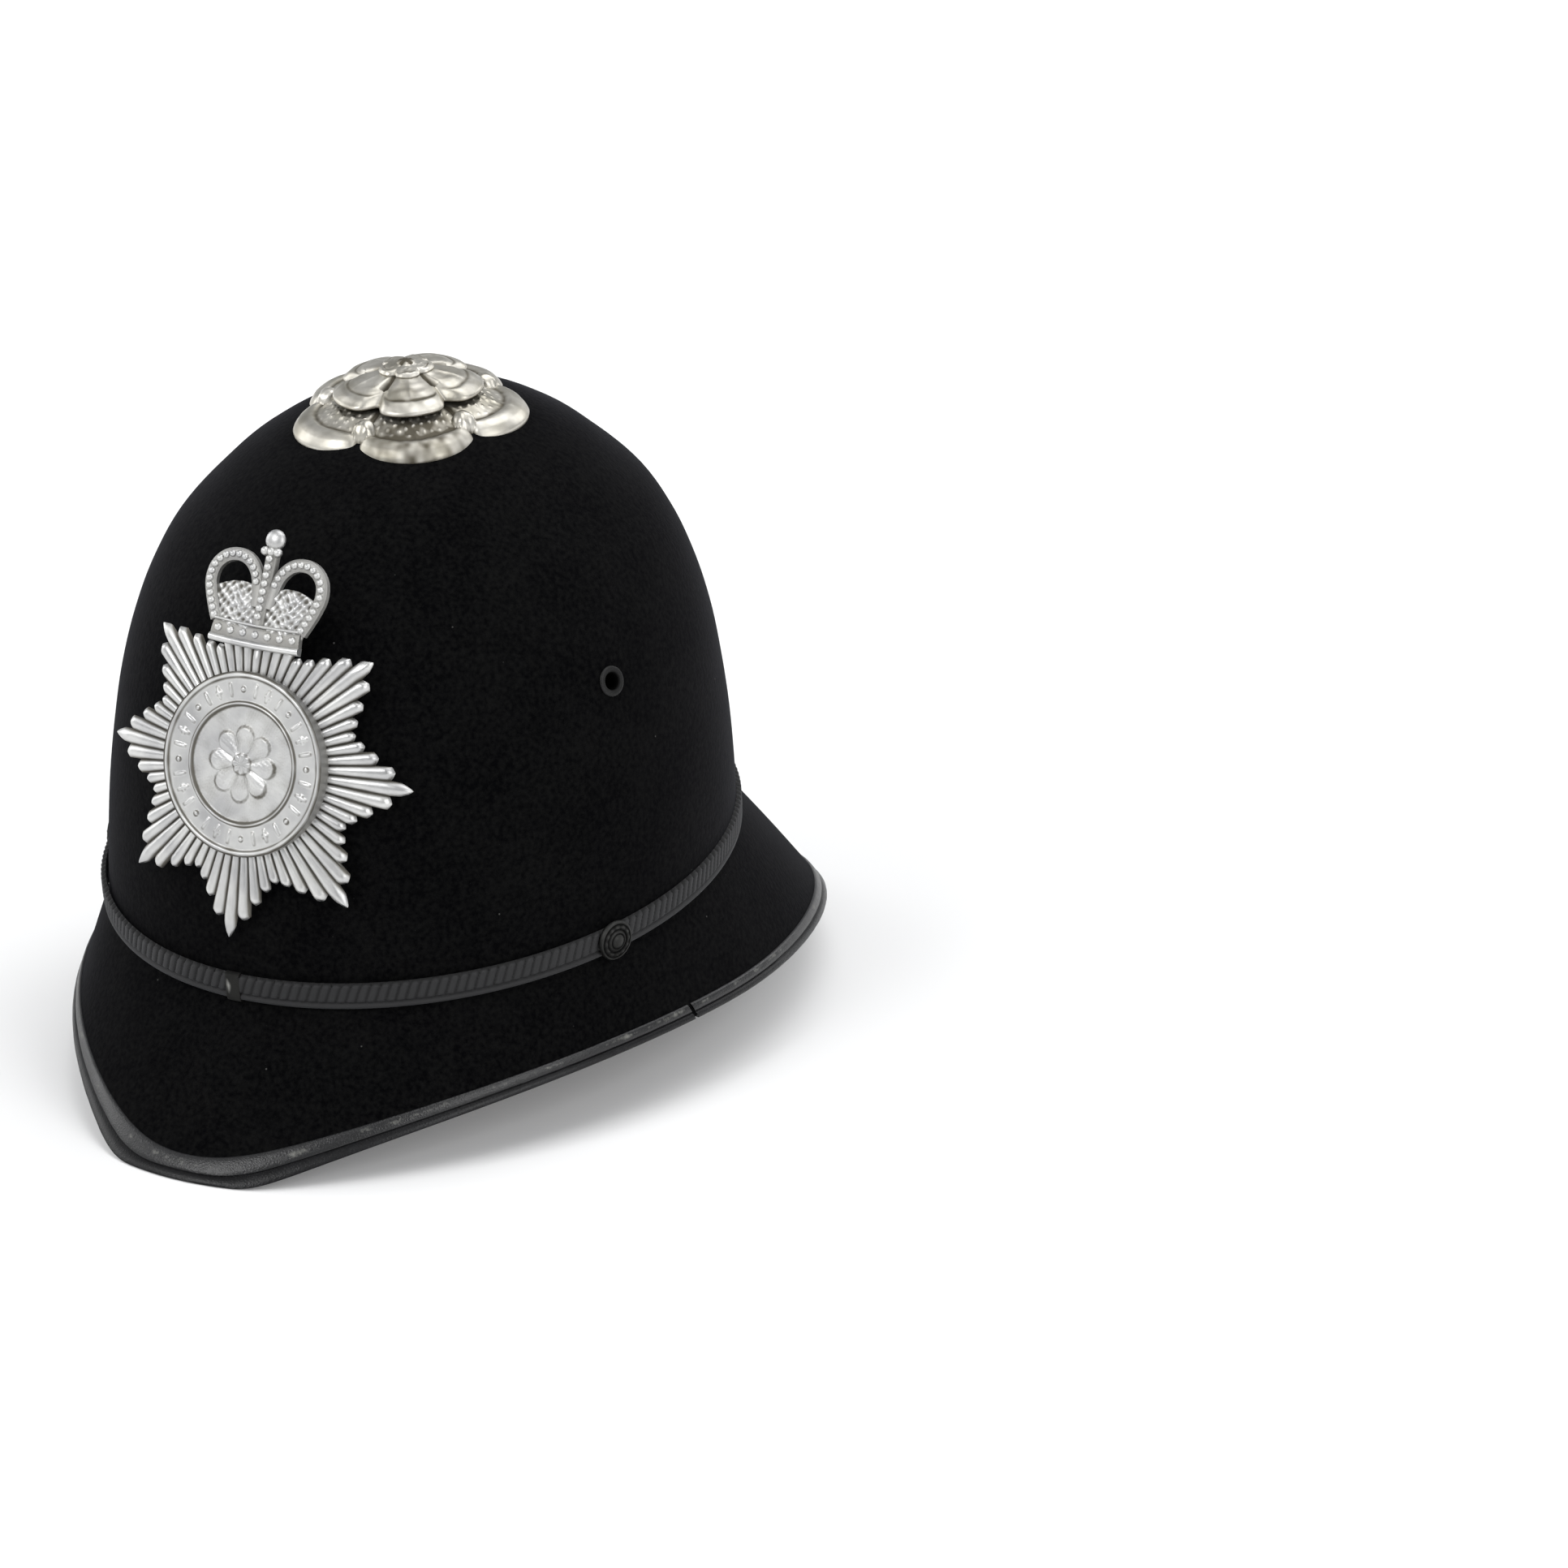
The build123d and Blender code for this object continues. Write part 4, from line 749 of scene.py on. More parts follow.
# %% Disc
STAR_TOP, DISC_RISE, RIM_RISE, FIELD_RADIUS, DISC_RADIUS = STAR_SHEET + RIB_HEIGHT, 1.2, 0.7, 19.0, 29.0
FIELD_TOP = STAR_TOP + DISC_RISE
MARKS, MARK_RADIUS, MARK_HEIGHT, BEAD_RADIUS = 32, 23.4, 0.55, 1.0
LOBES, LOBE_REACH, LOBE_HEIGHT, VEIN_DEPTH, BOSS_RADIUS, BOSS_HEIGHT = 8, 12.5, 0.6, 0.3, 3.4, 0.7
STIPPLE_MM, FIELD_SINK, FIELD_GRIME, EDGE_SHADE = 0.05, 0.25, 0.18, 0.6
turn = np.linspace(0, TURN, 721)[None, :]
radius = np.concatenate([np.linspace(0, 27, 90), np.linspace(27.1, DISC_RADIUS - 0.12, 14)])[:, None]
x, y = radius * np.cos(turn), radius * np.sin(turn)
mark = (turn / TURN * MARKS) % 1 - 0.5
mark_kind = np.floor(turn / TURN * MARKS) % 4
mark_side = mark * TURN / MARKS * radius
bead = np.clip(1 - (mark_side ** 2 + (radius - MARK_RADIUS) ** 2) / BEAD_RADIUS ** 2, 0, 1) ** 0.7
bar = ridge(mark_side, 0, 0.75) ** 0.6 * ridge(radius, MARK_RADIUS, 2.3) ** 0.3
crossbar = ridge(mark_side, 0, 1.5) ** 0.6 * ridge(radius, MARK_RADIUS, 0.8) ** 0.5
marks = np.select([mark_kind == 0, mark_kind == 2], [bead, np.maximum(bar * 0.9, crossbar * 0.8)], bar)
lobe = np.abs(np.cos(LOBES / 2 * turn))
petals = np.clip((LOBE_REACH * (0.72 + 0.28 * lobe ** 0.6) - radius) / 1.2, 0, 1) * (0.25 + 0.75 * lobe)
vein = ridge(radius * np.sin((turn * LOBES / TURN % 1 - 0.5) * TURN / LOBES), 0, 0.5) * (radius > 4)
boss = np.sqrt(np.clip(1 - (radius / BOSS_RADIUS) ** 2, 0, 1))
stipple = unevenness(x * 2.2, y * 2.2, 3.0) * (radius < 18)
lines = ridge(radius, FIELD_RADIUS, 0.9) + ridge(radius, 27.9, 1.3)
sunk = np.clip((18.4 - radius) / 0.6, 0, 1) * FIELD_SINK
rise = (FIELD_TOP + RIM_RISE * lines + MARK_HEIGHT * marks * (radius < 26.5) + LOBE_HEIGHT * petals
        - VEIN_DEPTH * vein * petals + BOSS_HEIGHT * boss + STIPPLE_MM * stipple - sunk)
rise = np.minimum(rise, FIELD_TOP + RIM_RISE)
edge_x, edge_y = DISC_RADIUS * np.cos(turn), DISC_RADIUS * np.sin(turn)
wall_feet = on_wrapped_plate(edge_x, edge_y, STAR_TOP - 0.4)
foot_middle = np.broadcast_to(on_wrapped_plate(np.zeros(1), np.zeros(1), STAR_TOP - 0.4), wall_feet.shape)
# Painted light: slopes dark as the shade that outlines the relief, raised parts lighter as a highlight, and the
# edge wall and foot dark as the shade under the rim; the blotches are random tone.
slope = (np.abs(np.gradient(rise, axis=0)) / np.gradient(radius, axis=0)
         + np.abs(np.gradient(rise, axis=1)) * 40 / (radius + 4))
blotch = unevenness(x * 0.31, y * 0.31, 8.0)
hollow = FIELD_GRIME + 0.2 * blotch + slope - 0.4 * np.clip(rise - FIELD_TOP - 0.1, 0, 1)
hollow = np.clip(hollow - 0.1 * (radius > FIELD_RADIUS), 0, 0.95)
disc_rows = [on_plate(x, y, rise), on_plate(edge_x, edge_y, FIELD_TOP + 0.3), wall_feet, foot_middle]
hollow = np.pad(hollow, ((0, 3), (0, 0)), constant_values=EDGE_SHADE)
piece("plate_disc", [{"points": np.concatenate(disc_rows), "wear": hollow}],
      plate_nickel, ["badge_disc"], 60)

# %% [markdown]
# ## The crown over the disc
# A plain heraldic crown closes the top of the star: a jewelled band, two puffed cushions of the cap, two
# beaded side arches with the felt showing through them, a middle arch and a ball. It leans back with the
# dome. Each bar is a half-round section carried along a path, and the beads are one small ball repeated.

# %% Crown frame and its bars
CROWN_LEAN, CROWN_SINK = np.radians(11.0), 2.0
CROWN_WAY = np.cos(CROWN_LEAN) * PLATE_WAY + np.sin(CROWN_LEAN) * PLATE_UP
CROWN_UP = np.cos(CROWN_LEAN) * PLATE_UP - np.sin(CROWN_LEAN) * PLATE_WAY
CROWN_PLACE = PLATE_PLACE + CROWN_SEAT_UP * PLATE_UP + STAR_TOP * PLATE_WAY - CROWN_SINK * CROWN_UP


def on_crown(x, y, rise):
    """A place on the crown's own leaning plane: x to the left side, y up it, rise out from it."""
    return framed(CROWN_PLACE, CROWN_UP, CROWN_WAY, x, y, rise)


def crown_bar(path, half_width, height, base, wear):
    """A half-round bar along a flat path: w cos a to the side and base + h sin a out, a from 0 to 180."""
    path = np.array(path, float)
    way = unit(np.gradient(path, axis=0))
    angle = np.concatenate([np.linspace(0, np.pi, 11), [0.0]])
    across, lift = half_width * np.cos(angle), base + height * np.sin(angle)
    lift[0] = lift[-2] = lift[-1] = 0.0
    x, y = (path[:, k, None] + side[:, None] * across for k, side in ((0, -way[:, 1]), (1, way[:, 0])))
    return capped(on_crown(x, y, lift[None]), wear)


def ball(rows, columns):
    """The x, y and z of a ball of radius 1, from its pole down."""
    polar, spin = np.meshgrid(np.linspace(0, np.pi, rows), np.linspace(0, TURN, columns), indexing="ij")
    return np.sin(polar) * np.cos(spin), np.sin(polar) * np.sin(spin), np.cos(polar)


def crown_beads(centres, radius, lift):
    """One small ball of a few faces, repeated at every centre."""
    x, y = np.array(centres, float).T[:, :, None, None]
    right, up, out = ball(7, 10)
    return {"points": on_crown(x + right * radius, y + up * radius, lift + out * radius), "wear": 0.2}


# %% Side arches
CROWN_HEIGHT, CROWN_BAND, CROWN_HALF = 31.0, 8.0, 15.5
ARCH_HALF, BEAD_PITCH, BEAD_FROM, BEADED_SHARE = 2.1, 2.35, 1.2, 0.86
ARCH_PATH = np.array([
    (15.4, 7.4), (17.3, 11.2), (19.0, 15.2), (20.1, 19.4), (19.3, 23.8), (16.2, 27.1), (11.9, 28.2),
    (7.7, 27.0), (4.5, 23.6), (2.9, 18.8), (2.2, 13.0)])
path_steps, path_numbers = np.linspace(0, len(ARCH_PATH) - 1, 61), np.arange(len(ARCH_PATH))
arch = np.stack([smooth_table(path_steps, path_numbers, column) for column in ARCH_PATH.T], 1)
arch_run = run_of(arch)
bead_runs = np.arange(BEAD_FROM, arch_run[-1] * BEADED_SHARE, BEAD_PITCH)
beaded = looked_up(bead_runs, arch_run, arch)
grids = []
for side in (-1, 1):
    grids.append(crown_bar(arch * [side, 1], ARCH_HALF, 0.9, 1.3, 0.55))
    grids.append(crown_beads(beaded * [side, 1], 1.2, 2.1))
print("beads on each arch:", len(bead_runs))

# %% [markdown]
# The cap is two cushions under the arches. Each is a puffed height over the width and the way up, covered
# with small grains, with shade painted dark between them and the puffs painted lighter. The felt shows in the
# openings that the cushions leave.

# %% Cap
CAP_TOP, CAP_REACH, GRAIN_MM = 19.2, 18.2, 3.2
across, tall = np.meshgrid(np.linspace(-1, 1, 121), np.linspace(0, 1, 61), indexing="ij")
shoulder = np.abs(np.sin(across * np.pi))
cap_x = across * (CROWN_HALF + (CAP_REACH - CROWN_HALF) * np.clip(tall * 1.15, 0, 1) ** 0.8)
cap_y = CROWN_BAND / 2 + tall * (CAP_TOP - CROWN_BAND / 2 - 1.6 + 2.6 * shoulder)
puff = shoulder ** 0.6 * np.sin(tall * np.pi * 0.93 + 0.18) ** 0.5
grain = np.sin(cap_x * TURN / GRAIN_MM) * np.sin(cap_y * TURN / GRAIN_MM + 1.4 * np.sin(cap_x * 0.7))
crumple = unevenness(cap_x * 0.9, cap_y * 0.9, 7.0)
cap_front = on_crown(cap_x, cap_y, 0.6 + 1.7 * puff + 0.3 * grain + 0.25 * crumple * puff)
cap_back = on_crown(cap_x, cap_y, 0.0)
middle = np.broadcast_to(cap_back.mean(1, keepdims=True), (len(cap_x), 1, 3))
cap_grid = np.concatenate([middle, cap_back[:, :1], cap_front, cap_back[:, -1:], middle], 1)
# Painted shade: darker between the grains and in the crumples, lighter on the puffs.
cap_shade = np.clip(0.55 - 0.45 * grain - 0.25 * puff - 0.35 * crumple, 0.1, 0.95)
grids.append(capped(cap_grid, np.pad(cap_shade, ((0, 0), (2, 2)), mode="edge")))

# %% Crown band, middle arch and ball
BALL_RADIUS, BALL_FLATNESS = 3.4, 0.62
line = np.linspace(-1, 1, 41)
sag = 1 - line ** 2
for wider, middle_up, sagging, half_width, height, base, wear in (
    (0.5, CROWN_BAND / 2 + 0.6, 0.9, 3.2, 0.9, 1.2, 0.6),
    (0.9, 1.75, 0.5, 1.2, 1.4, 1.3, 0.1),
    (1.3, CROWN_BAND - 0.2, 0.6, 0.5, 0.7, 2.0, 0.3),
):
    path = np.stack([line * (CROWN_HALF + wider), middle_up - sagging * sag], 1)
    grids.append(crown_bar(path, half_width, height, base, wear))
jewels = np.linspace(-0.86, 0.86, 7)
grids.append(crown_beads(np.stack([jewels * (CROWN_HALF + 0.3), 4.9 - 0.5 * (1 - jewels ** 2)], 1), 1.35, 1.9))
stem_ups = np.linspace(CROWN_BAND - 0.5, CROWN_HEIGHT + 0.8, 12)
grids.append(crown_bar([(0, y) for y in stem_ups], 2.1, 1.2, 1.5, 0.6))
grids.append(crown_beads([(0, y) for y in np.linspace(CROWN_BAND + 2.2, CROWN_HEIGHT - 2.6, 8)], 1.3, 2.6))
grids.append(crown_beads([(x, CROWN_HEIGHT - 0.4) for x in (-2.3, 0, 2.3)], 1.5, 2.3))
right, out, up = ball(19, 33)
grids.append({"points": on_crown(BALL_RADIUS * right, CROWN_HEIGHT + BALL_RADIUS * (1 + up),
                                 1.3 + BALL_FLATNESS * BALL_RADIUS * out), "wear": 0.3})
piece("plate_crown", grids, plate_nickel, ["badge_crown"], 45)

# %% [markdown]
# ## The rose
# The rose over the vent is pressed from sheet in tiers, like a flower seen from above. Each tier is a height
# worked out over the turn and the share of the way to the edge. The outline is five circles set round the
# axis. The same formula in every tier rolls the petal's rim, hollows the petal behind it and cuts the
# valleys, in different amounts. It also paints shade into the hollows, creases, valleys and undersides,
# highlights onto the bulges and pimples, and a dark reflection onto the petal that faces the camera.

# %% Petal helpers
PETALS, DARK_REFLECTION_TURN, DARK_REFLECTION_SPREAD, NOTCH_SPREAD = 5, 2.5, 0.62, 0.13
PETAL_EDGE_MM, VALLEY_MM, VEIN_MM, RIPPLE_MM, UNDERSIDE_SHADE = 2.2, 1.1, 0.8, 0.18, 0.9
RIM_AT, HOLLOW_AT, CREASE_AT = (0.90, 0.075), (0.72, 0.10), (0.795, 0.026)
VEIN_AT, PIMPLES_AT, HOLLOW_SHADE_AT = (0.62, 0.2), (0.62, 0.13), (0.68, 0.14)


def petal_reach(away, reach, petal_radius, notch):
    """Edge of five circles: c cos d + sqrt(r^2 - (c sin d)^2), drawn in at each valley by the notch."""
    centre = reach - petal_radius
    edge = centre * np.cos(away) + np.sqrt(petal_radius ** 2 - (centre * np.sin(away)) ** 2)
    return edge * (1 - notch * bell(np.pi / PETALS - np.abs(away), 0, NOTCH_SPREAD))


def petal_tier(reach, petal_radius, notch, inner, heights, amounts, foot, columns=721, rows=64):
    """One tier: heights and foot are rows of (radius, height), and amounts are mm of relief, then the share of
    painted shade in the petal's hollow and of painted dark reflection on the front petal.
    """
    rim, hollow, vein, valley, bulge, pimple, darkening, dark_reflection = amounts
    turn = np.linspace(0, TURN, columns)[None, :]
    ways = np.linspace(inner / reach, 1, rows)[:, None]
    away = (turn + TURN / PETALS / 2) % (TURN / PETALS) - TURN / PETALS / 2
    edge = petal_reach(away, reach, petal_radius, notch)
    radius = ways * edge
    x, y = radius * np.sin(turn), radius * np.cos(turn)

    gap = (np.pi / PETALS - np.abs(away)) * radius
    petal_only = 1 - bell(gap, 0, PETAL_EDGE_MM)
    in_valley = bell(gap, 0, VALLEY_MM)
    crease = bell(ways, *CREASE_AT) * petal_only
    spot = np.sqrt((gap / 3.9) ** 2 + ((radius - 0.70 * reach) / 3.5) ** 2)
    bulge_shape = bulge * np.sqrt(np.clip(1 - spot ** 2, 0, 1))
    pimples = np.sin(y * 1.6 + 0.5 * np.sin(x)) * np.sin(x * 1.6 + y * 0.3)
    pimples = np.clip(pimples * 1.6 - 0.5, 0, 1) * bell(ways, *PIMPLES_AT) * petal_only
    ripple = RIPPLE_MM * unevenness(away * 6, ways * 12, 4.0 + reach)
    relief = ((rim * bell(ways, *RIM_AT) - hollow * bell(ways, *HOLLOW_AT) + ripple) * petal_only
              - 0.5 * crease * rim + vein * bell(away * radius, 0, VEIN_MM) * bell(ways, *VEIN_AT)
              - np.where(spot < 1, 0, valley * in_valley * np.clip((ways - 0.35) / 0.4, 0, 1))
              + bulge_shape + pimple * pimples)
    top = over_crown(x, y, np.interp(ways * reach, *np.transpose(heights)) + relief)
    under_radius, under_height = np.array(foot).T[:, :, None]
    under_radius = under_radius * edge / reach
    under = over_crown(under_radius * np.sin(turn), under_radius * np.cos(turn), under_height)

    # Painted dark reflection: the petal that faces the camera is darkened, as if it mirrored the dark room behind
    # the camera.
    dimmer = bell((turn - DARK_REFLECTION_TURN + np.pi) % TURN, np.pi, DARK_REFLECTION_SPREAD)
    mottle = unevenness(x * 0.55, y * 0.55, 11.0)
    # Painted shade in the petal's hollow, the crease, the valleys and under each tier; painted highlights on the
    # bulges and pimples; the mottle is random tone.
    dark = (0.1 + 0.6 * crease + darkening * bell(ways, *HOLLOW_SHADE_AT) * petal_only * (0.5 + dimmer)
            + 0.95 * in_valley * (spot > 1) - 0.7 * pimples * (pimple > 0)
            + dimmer * dark_reflection * (1 + 0.6 * mottle) + 0.14 * mottle - 0.9 * (bulge_shape > 0.1))
    dark = np.pad(np.clip(dark, 0, 1), ((0, len(under) + 1), (0, 0)), constant_values=UNDERSIDE_SHADE)
    return {"points": closed(np.concatenate([top, under])), "wear": dark}


# %% Rose
# The last two amounts of each tier are the painted shade in the petal's hollow and the painted dark reflection on
# the front petal.
for word, *tier in (
    ("flange", 38.5, 21.0, 0.0, 14.2,
     [(0, 9.0), (14.2, 9.1), (17, 9.0), (25, 7.6), (29.5, 5.6), (33, 4.6), (36.5, 2.9), (38, 1.4), (38.5, 0.3)],
     (0.8, 0.7, 0.35, 1.3, 3.6, 0.45, 0.22, 0.42),
     [(38.2, -0.7), (36.0, -1.0), (24.0, -1.0), (14.2, -1.0), (14.2, 8.0)]),
    ("head", 24.5, 15.0, 0.17, 2.5,
     [(0, 16.8), (2.5, 16.8), (9, 16.4), (16.6, 14.7), (20.5, 13.0), (23.0, 11.5), (24.3, 10.7), (24.5, 10.3)],
     (0.4, 0.2, 0.2, 2.6, 0.0, 0.0, 0.12, 0.15),
     [(24.3, 9.7), (22.5, 10.0), (17, 9.9), (10.2, 9.2), (2.5, 9.2)]),
    ("centre", 9.0, 5.2, 0.1, 0.02,
     [(0, 19.4), (2.2, 19.2), (3.2, 18.5), (4.2, 18.3), (7.0, 18.1), (8.4, 17.5), (9.0, 16.9)],
     (0.2, 0.15, 0.1, 0.5, 0.0, 0.0, 0.3, 0.0), [(8.8, 16.2), (0.02, 16.2)], 181, 40),
):
    piece("rose_" + word + "_petals", [petal_tier(*tier)], rose_nickel, ["rose_" + word], 50)
print("petals in each tier:", PETALS)

# %% [markdown]
# ## Small fittings
# The strap hangs on two posts. Their round heads lie on the braid and are pressed with a rosette. Each vent
# eyelet is a rolled ring with a barrel through the wall. All are turned forms, so each is one profile swept
# round an axis, and the button's rosette is a wave of twelve lobes added to the height.

# %% Side buttons
BUTTON_PROFILE = np.array([
    (-1.0, 0.0), (-1.0, 5.60), (0.0, 6.30), (0.35, 6.56), (0.90, 6.56), (1.40, 6.22), (1.52, 5.90),
    (1.30, 5.55), (1.38, 5.30), (1.65, 5.00), (1.85, 4.60), (1.75, 4.20), (1.40, 3.80), (1.45, 3.50),
    (1.95, 3.15), (2.10, 2.80), (1.85, 2.45), (2.25, 2.05), (2.60, 1.50), (2.80, 0.80), (2.85, 0.0)])
BUTTON_GROOVE_SHADE = [
    (0, 0.1), (2.2, 0.3), (2.45, 0.9), (3.2, 0.2), (3.8, 1.0), (4.6, 0.3), (5.55, 1.0), (5.9, 0.2),
    (6.6, 0.3)]
POST_PROFILE = [(77.82, 0.0), (77.82, 1.98), (95.0, 1.98), (95.0, 0.0)]
BUTTON_LOBES, LOBE_MM, BUTTON_SEAT, BUTTON_SIDES, FACE_FROM = 12, 0.22, 2.0, 96, 1.2
button_turn = np.arccos((DOME_CENTRE_Y - POST_PLACE[1]) / (DOME_LENGTH / 2 + BUTTON_SEAT))
button_seat = band_oval(button_turn, BUTTON_SEAT, BAND_FOOT + BAND_WIDTH / 2)
ahead = np.cos(button_turn) / (DOME_LENGTH / 2)
facing = unit(np.array([np.sin(button_turn) / (DOME_WIDTH / 2), -ahead * np.cos(LEAN), -ahead * np.sin(LEAN)]))
button_spread = np.linspace(0, TURN, BUTTON_SIDES + 1)[None, :, None]
# Painted shade: dark in the grooves of the profile, lighter on the tops of the lobes.
button_groove_shade = np.interp(BUTTON_PROFILE[:, 1], *np.transpose(BUTTON_GROOVE_SHADE))
lobe_band = bell(BUTTON_PROFILE[:, 1], 4.7, 0.5) * (BUTTON_PROFILE[:, 0] > FACE_FROM)
lobes = np.cos(BUTTON_LOBES * button_spread) * lobe_band[:, None, None]
for word, flip in BOTH_SIDES:
    rows = turned(BUTTON_PROFILE, button_seat * flip, facing * flip, BUTTON_SIDES)
    rows = rows + LOBE_MM * lobes * facing * flip
    wear = np.clip(button_groove_shade[:, None] - 0.25 * lobes[..., 0], 0, 1)
    post = turned(POST_PROFILE, POST_PLACE, LEFT_WAY * flip, 32)
    piece("button_" + word, [{"points": rows, "wear": wear}, {"points": post, "wear": 0.3}], button_plating,
          ["side_button_" + word], 35)
print("buttons face", round(float(np.degrees(np.arcsin(facing[0])))), "degrees off straight ahead")

# %% Vent eyelets
# Each row is a height along the axis, a radius and how dark it is painted: dark down the barrel and inside the
# lip as the shade in the hole, lighter on the rolled top.
EYELET_PROFILE = np.array([
    (-6.45, 2.62, 0.9), (-6.45, 3.28, 0.9), (0.02, 3.28, 0.9), (0.02, 4.62, 0.5), (0.22, 4.88, 0.3),
    (0.52, 4.80, 0.2), (0.78, 4.45, 0.1), (0.90, 3.95, 0.1), (0.84, 3.45, 0.3), (0.58, 2.98, 0.6),
    (0.10, 2.68, 0.9), (-1.0, 2.62, 0.9)])
eyelet_ring = closed(EYELET_PROFILE)
for word, flip in BOTH_SIDES:
    rows = turned(eyelet_ring[:, :2], EYELET_PLACE * flip, EYELET_WAY * flip, 64)
    piece("eyelet_" + word, [{"points": rows, "wear": eyelet_ring[:, 2:]}], eyelet_nickel,
          ["vent_eyelet_" + word], 40)

# %% [markdown]
# ## Finishes for the solid parts that stay
# Some solid parts are already the right shape: washers, nuts, the buckle, the cork body and its pads. They
# keep their meshes and get a finish. Cork is pressed granules, so a cell pattern of about 3 mm gives each
# granule its own tone, with dark specks of bark between them.

# %% Cork and metal finishes
cork, tree, shader, place = start_material("pressed_cork", {"Roughness": 0.85, "Specular IOR Level": 0.3})
GRANULE_MM, BARK_MM = 3.0, 1.3
granule = add(tree, "TexVoronoi", {"Vector": place, "Scale": 1000 / GRANULE_MM}).outputs
own = add(tree, "SeparateColor", {0: granule["Color"]})
tone = add(tree, "ValToRGB", {0: own}, [(0.0, "#6d4c2c"), (0.5, "#8c6740"), (1.0, "#a9834f")])
bark = add(tree, "TexNoise", {"Vector": place, "Scale": 1000 / BARK_MM, "Detail": 3.0})
speck = add(tree, "MapRange", {0: bark, 1: 0.60, 2: 0.66, 3: 0.0, 4: 1.0})
fill(tree, shader, {
    "Base Color": add(tree, "Mix", {"Factor": speck, 6: tone, 7: linear("#3a2716")}, data_type="RGBA").outputs[2],
    "Normal": add(tree, "Bump", {"Strength": 0.5, "Distance": 0.4 * MM, "Height": granule["Distance"]})})

for material, names in (
    (cork, ("shell", "spacer_pads")),
    (steel, ("vent_collar", "rose_stem", "stem_washer", "stem_nut", "side_washer_left", "side_washer_right",
             "side_nut_left", "side_nut_right")),
    (brass, ("badge_lugs", "badge_pins", "strap_end_eyelets")),
    (eyelet_nickel, ("eyelet_washer_left", "eyelet_washer_right")),
    (buckle_nickel, ("buckle_frame", "buckle_tongue")),
):
    for name in names:
        for slot in nodes[name].material_slots:
            slot.material = material
print("solid parts that stay:", sum(1 for node in nodes.values() if not node.hide_render))

# %% [markdown]
# ## The keeper
# The ends of the braid meet in front under a small dark wrap of sheet metal. It is a loop round the band's
# section, carried a few millimetres along the band. A bright patch on one side is a painted glint, drawn as
# enamel rubbed through to the metal.

# %% Keeper
KEEPER_PROFILE = np.array([
    (0.32, -0.10), (1.30, -0.20), (2.00, 0.25), (2.30, 1.50), (2.28, 2.90), (2.20, 5.50), (2.22, 8.20),
    (2.00, 9.40), (1.30, 9.70), (0.32, 9.60)])
KEEPER_HALF, GLINT_ALONG, GLINT_RISE = 2.5, -1.3, 5.0
keeper_along = np.array([-1.0, -0.97, -0.85, -0.5, -0.2, 0.0, 0.2, 0.5, 0.85, 0.97, 1.0])[:, None] * KEEPER_HALF
lifted = np.interp(np.abs(keeper_along), [0, 2.1, 2.5], [0.1, 0.0, -0.3])
out, rise = closed(KEEPER_PROFILE).T[:, None]
rows = band_oval(np.arcsin(keeper_along / (DOME_WIDTH / 2)), out + lifted * (out > 1), rise)
# Painted glint: a bright patch on one side, drawn as rubbed enamel.
rubbed = bell(keeper_along, GLINT_ALONG, 0.9) * bell(rise, GLINT_RISE, 2.0)
piece("keeper_wrap", [capped(rows, 1.0 - 0.9 * rubbed)], keeper_enamel, ["band_keeper"], 35)

# %% [markdown]
# ## Inside the helmet
# Turned over, the helmet shows cloth under the brim, a leather headband on cork pads, and a lining of eight
# cloth tongues drawn together over the head by a lace. Plain weave is two sets of threads at right angles.
# The shader draws them as two waves along the cloth's own directions, which the mesh gives it as a UV map.

# %% Lining cloth
lining_cloth, tree, shader, place = start_material("cotton_lining", {
    "Roughness": 0.85, "Sheen Weight": 0.1, "Sheen Roughness": 0.5, "Specular IOR Level": 0.3})
THREAD_MM, STAIN_MM = 0.9, 40.0
along = add(tree, "UVMap", uv_map="cloth_way")
waves = {"Vector": along, "Scale": 314 / THREAD_MM, "Distortion": 0.6, "Detail": 1.0}
warp, weft = (add(tree, "TexWave", waves, bands_direction=way).outputs["Fac"] for way in "XY")
weave = add(tree, "Math", {0: warp, 1: weft}, operation="MULTIPLY")
stain = add(tree, "TexNoise", {"Vector": place, "Scale": 1000 / STAIN_MM, "Detail": 4.0})
tone = add(tree, "Math", {0: weave, 1: 0.5, 2: stain}, operation="MULTIPLY_ADD")
fill(tree, shader, {
    "Base Color": add(tree, "ValToRGB", {0: tone}, [(0.35, "#1a1a1c"), (1.0, "#35353a")]),
    "Normal": add(tree, "Bump", {"Strength": 0.4, "Distance": 0.15 * MM, "Height": weave})})
print("threads drawn", THREAD_MM, "mm apart, about twice the real spacing, so that they show")

# %% Brim lining
LINING_DROP, EDGE_TUCK, PUCKER_MM, LINING_ROWS = 4.0, 0.86, 0.15, 22


def skin_area(rows):
    """Area of one face of a sheet in square metres: half the cross product of each cell's diagonals."""
    one, two = rows[1:, 1:] - rows[:-1, :-1], rows[1:, :-1] - rows[:-1, 1:]
    return float(np.linalg.norm(np.cross(one, two), axis=-1).sum() / 2 * MM * MM)


def over_drop(drop, out):
    """How far the brim is above the hat band's plane at a drop, square to the plane."""
    x, y, z = np.moveaxis(brim(drop, full_turn, out), -1, 0)
    return (z - BAND_HEIGHT_ABOVE_FLOOR) * np.cos(LEAN) - (y - DOME_CENTRE_Y) * np.sin(LEAN)


def brim_lining_rows(out):
    """Rows from just under the band down to the bound edge."""
    first = halved(lambda drop: over_drop(drop, out) > -LINING_DROP, full_turn.shape, 1.0)
    last = brim_drop(full_turn, out, EDGE_TUCK)
    return brim(first + (last - first) * np.linspace(0, 1, LINING_ROWS)[:, None], full_turn[None, :], out)


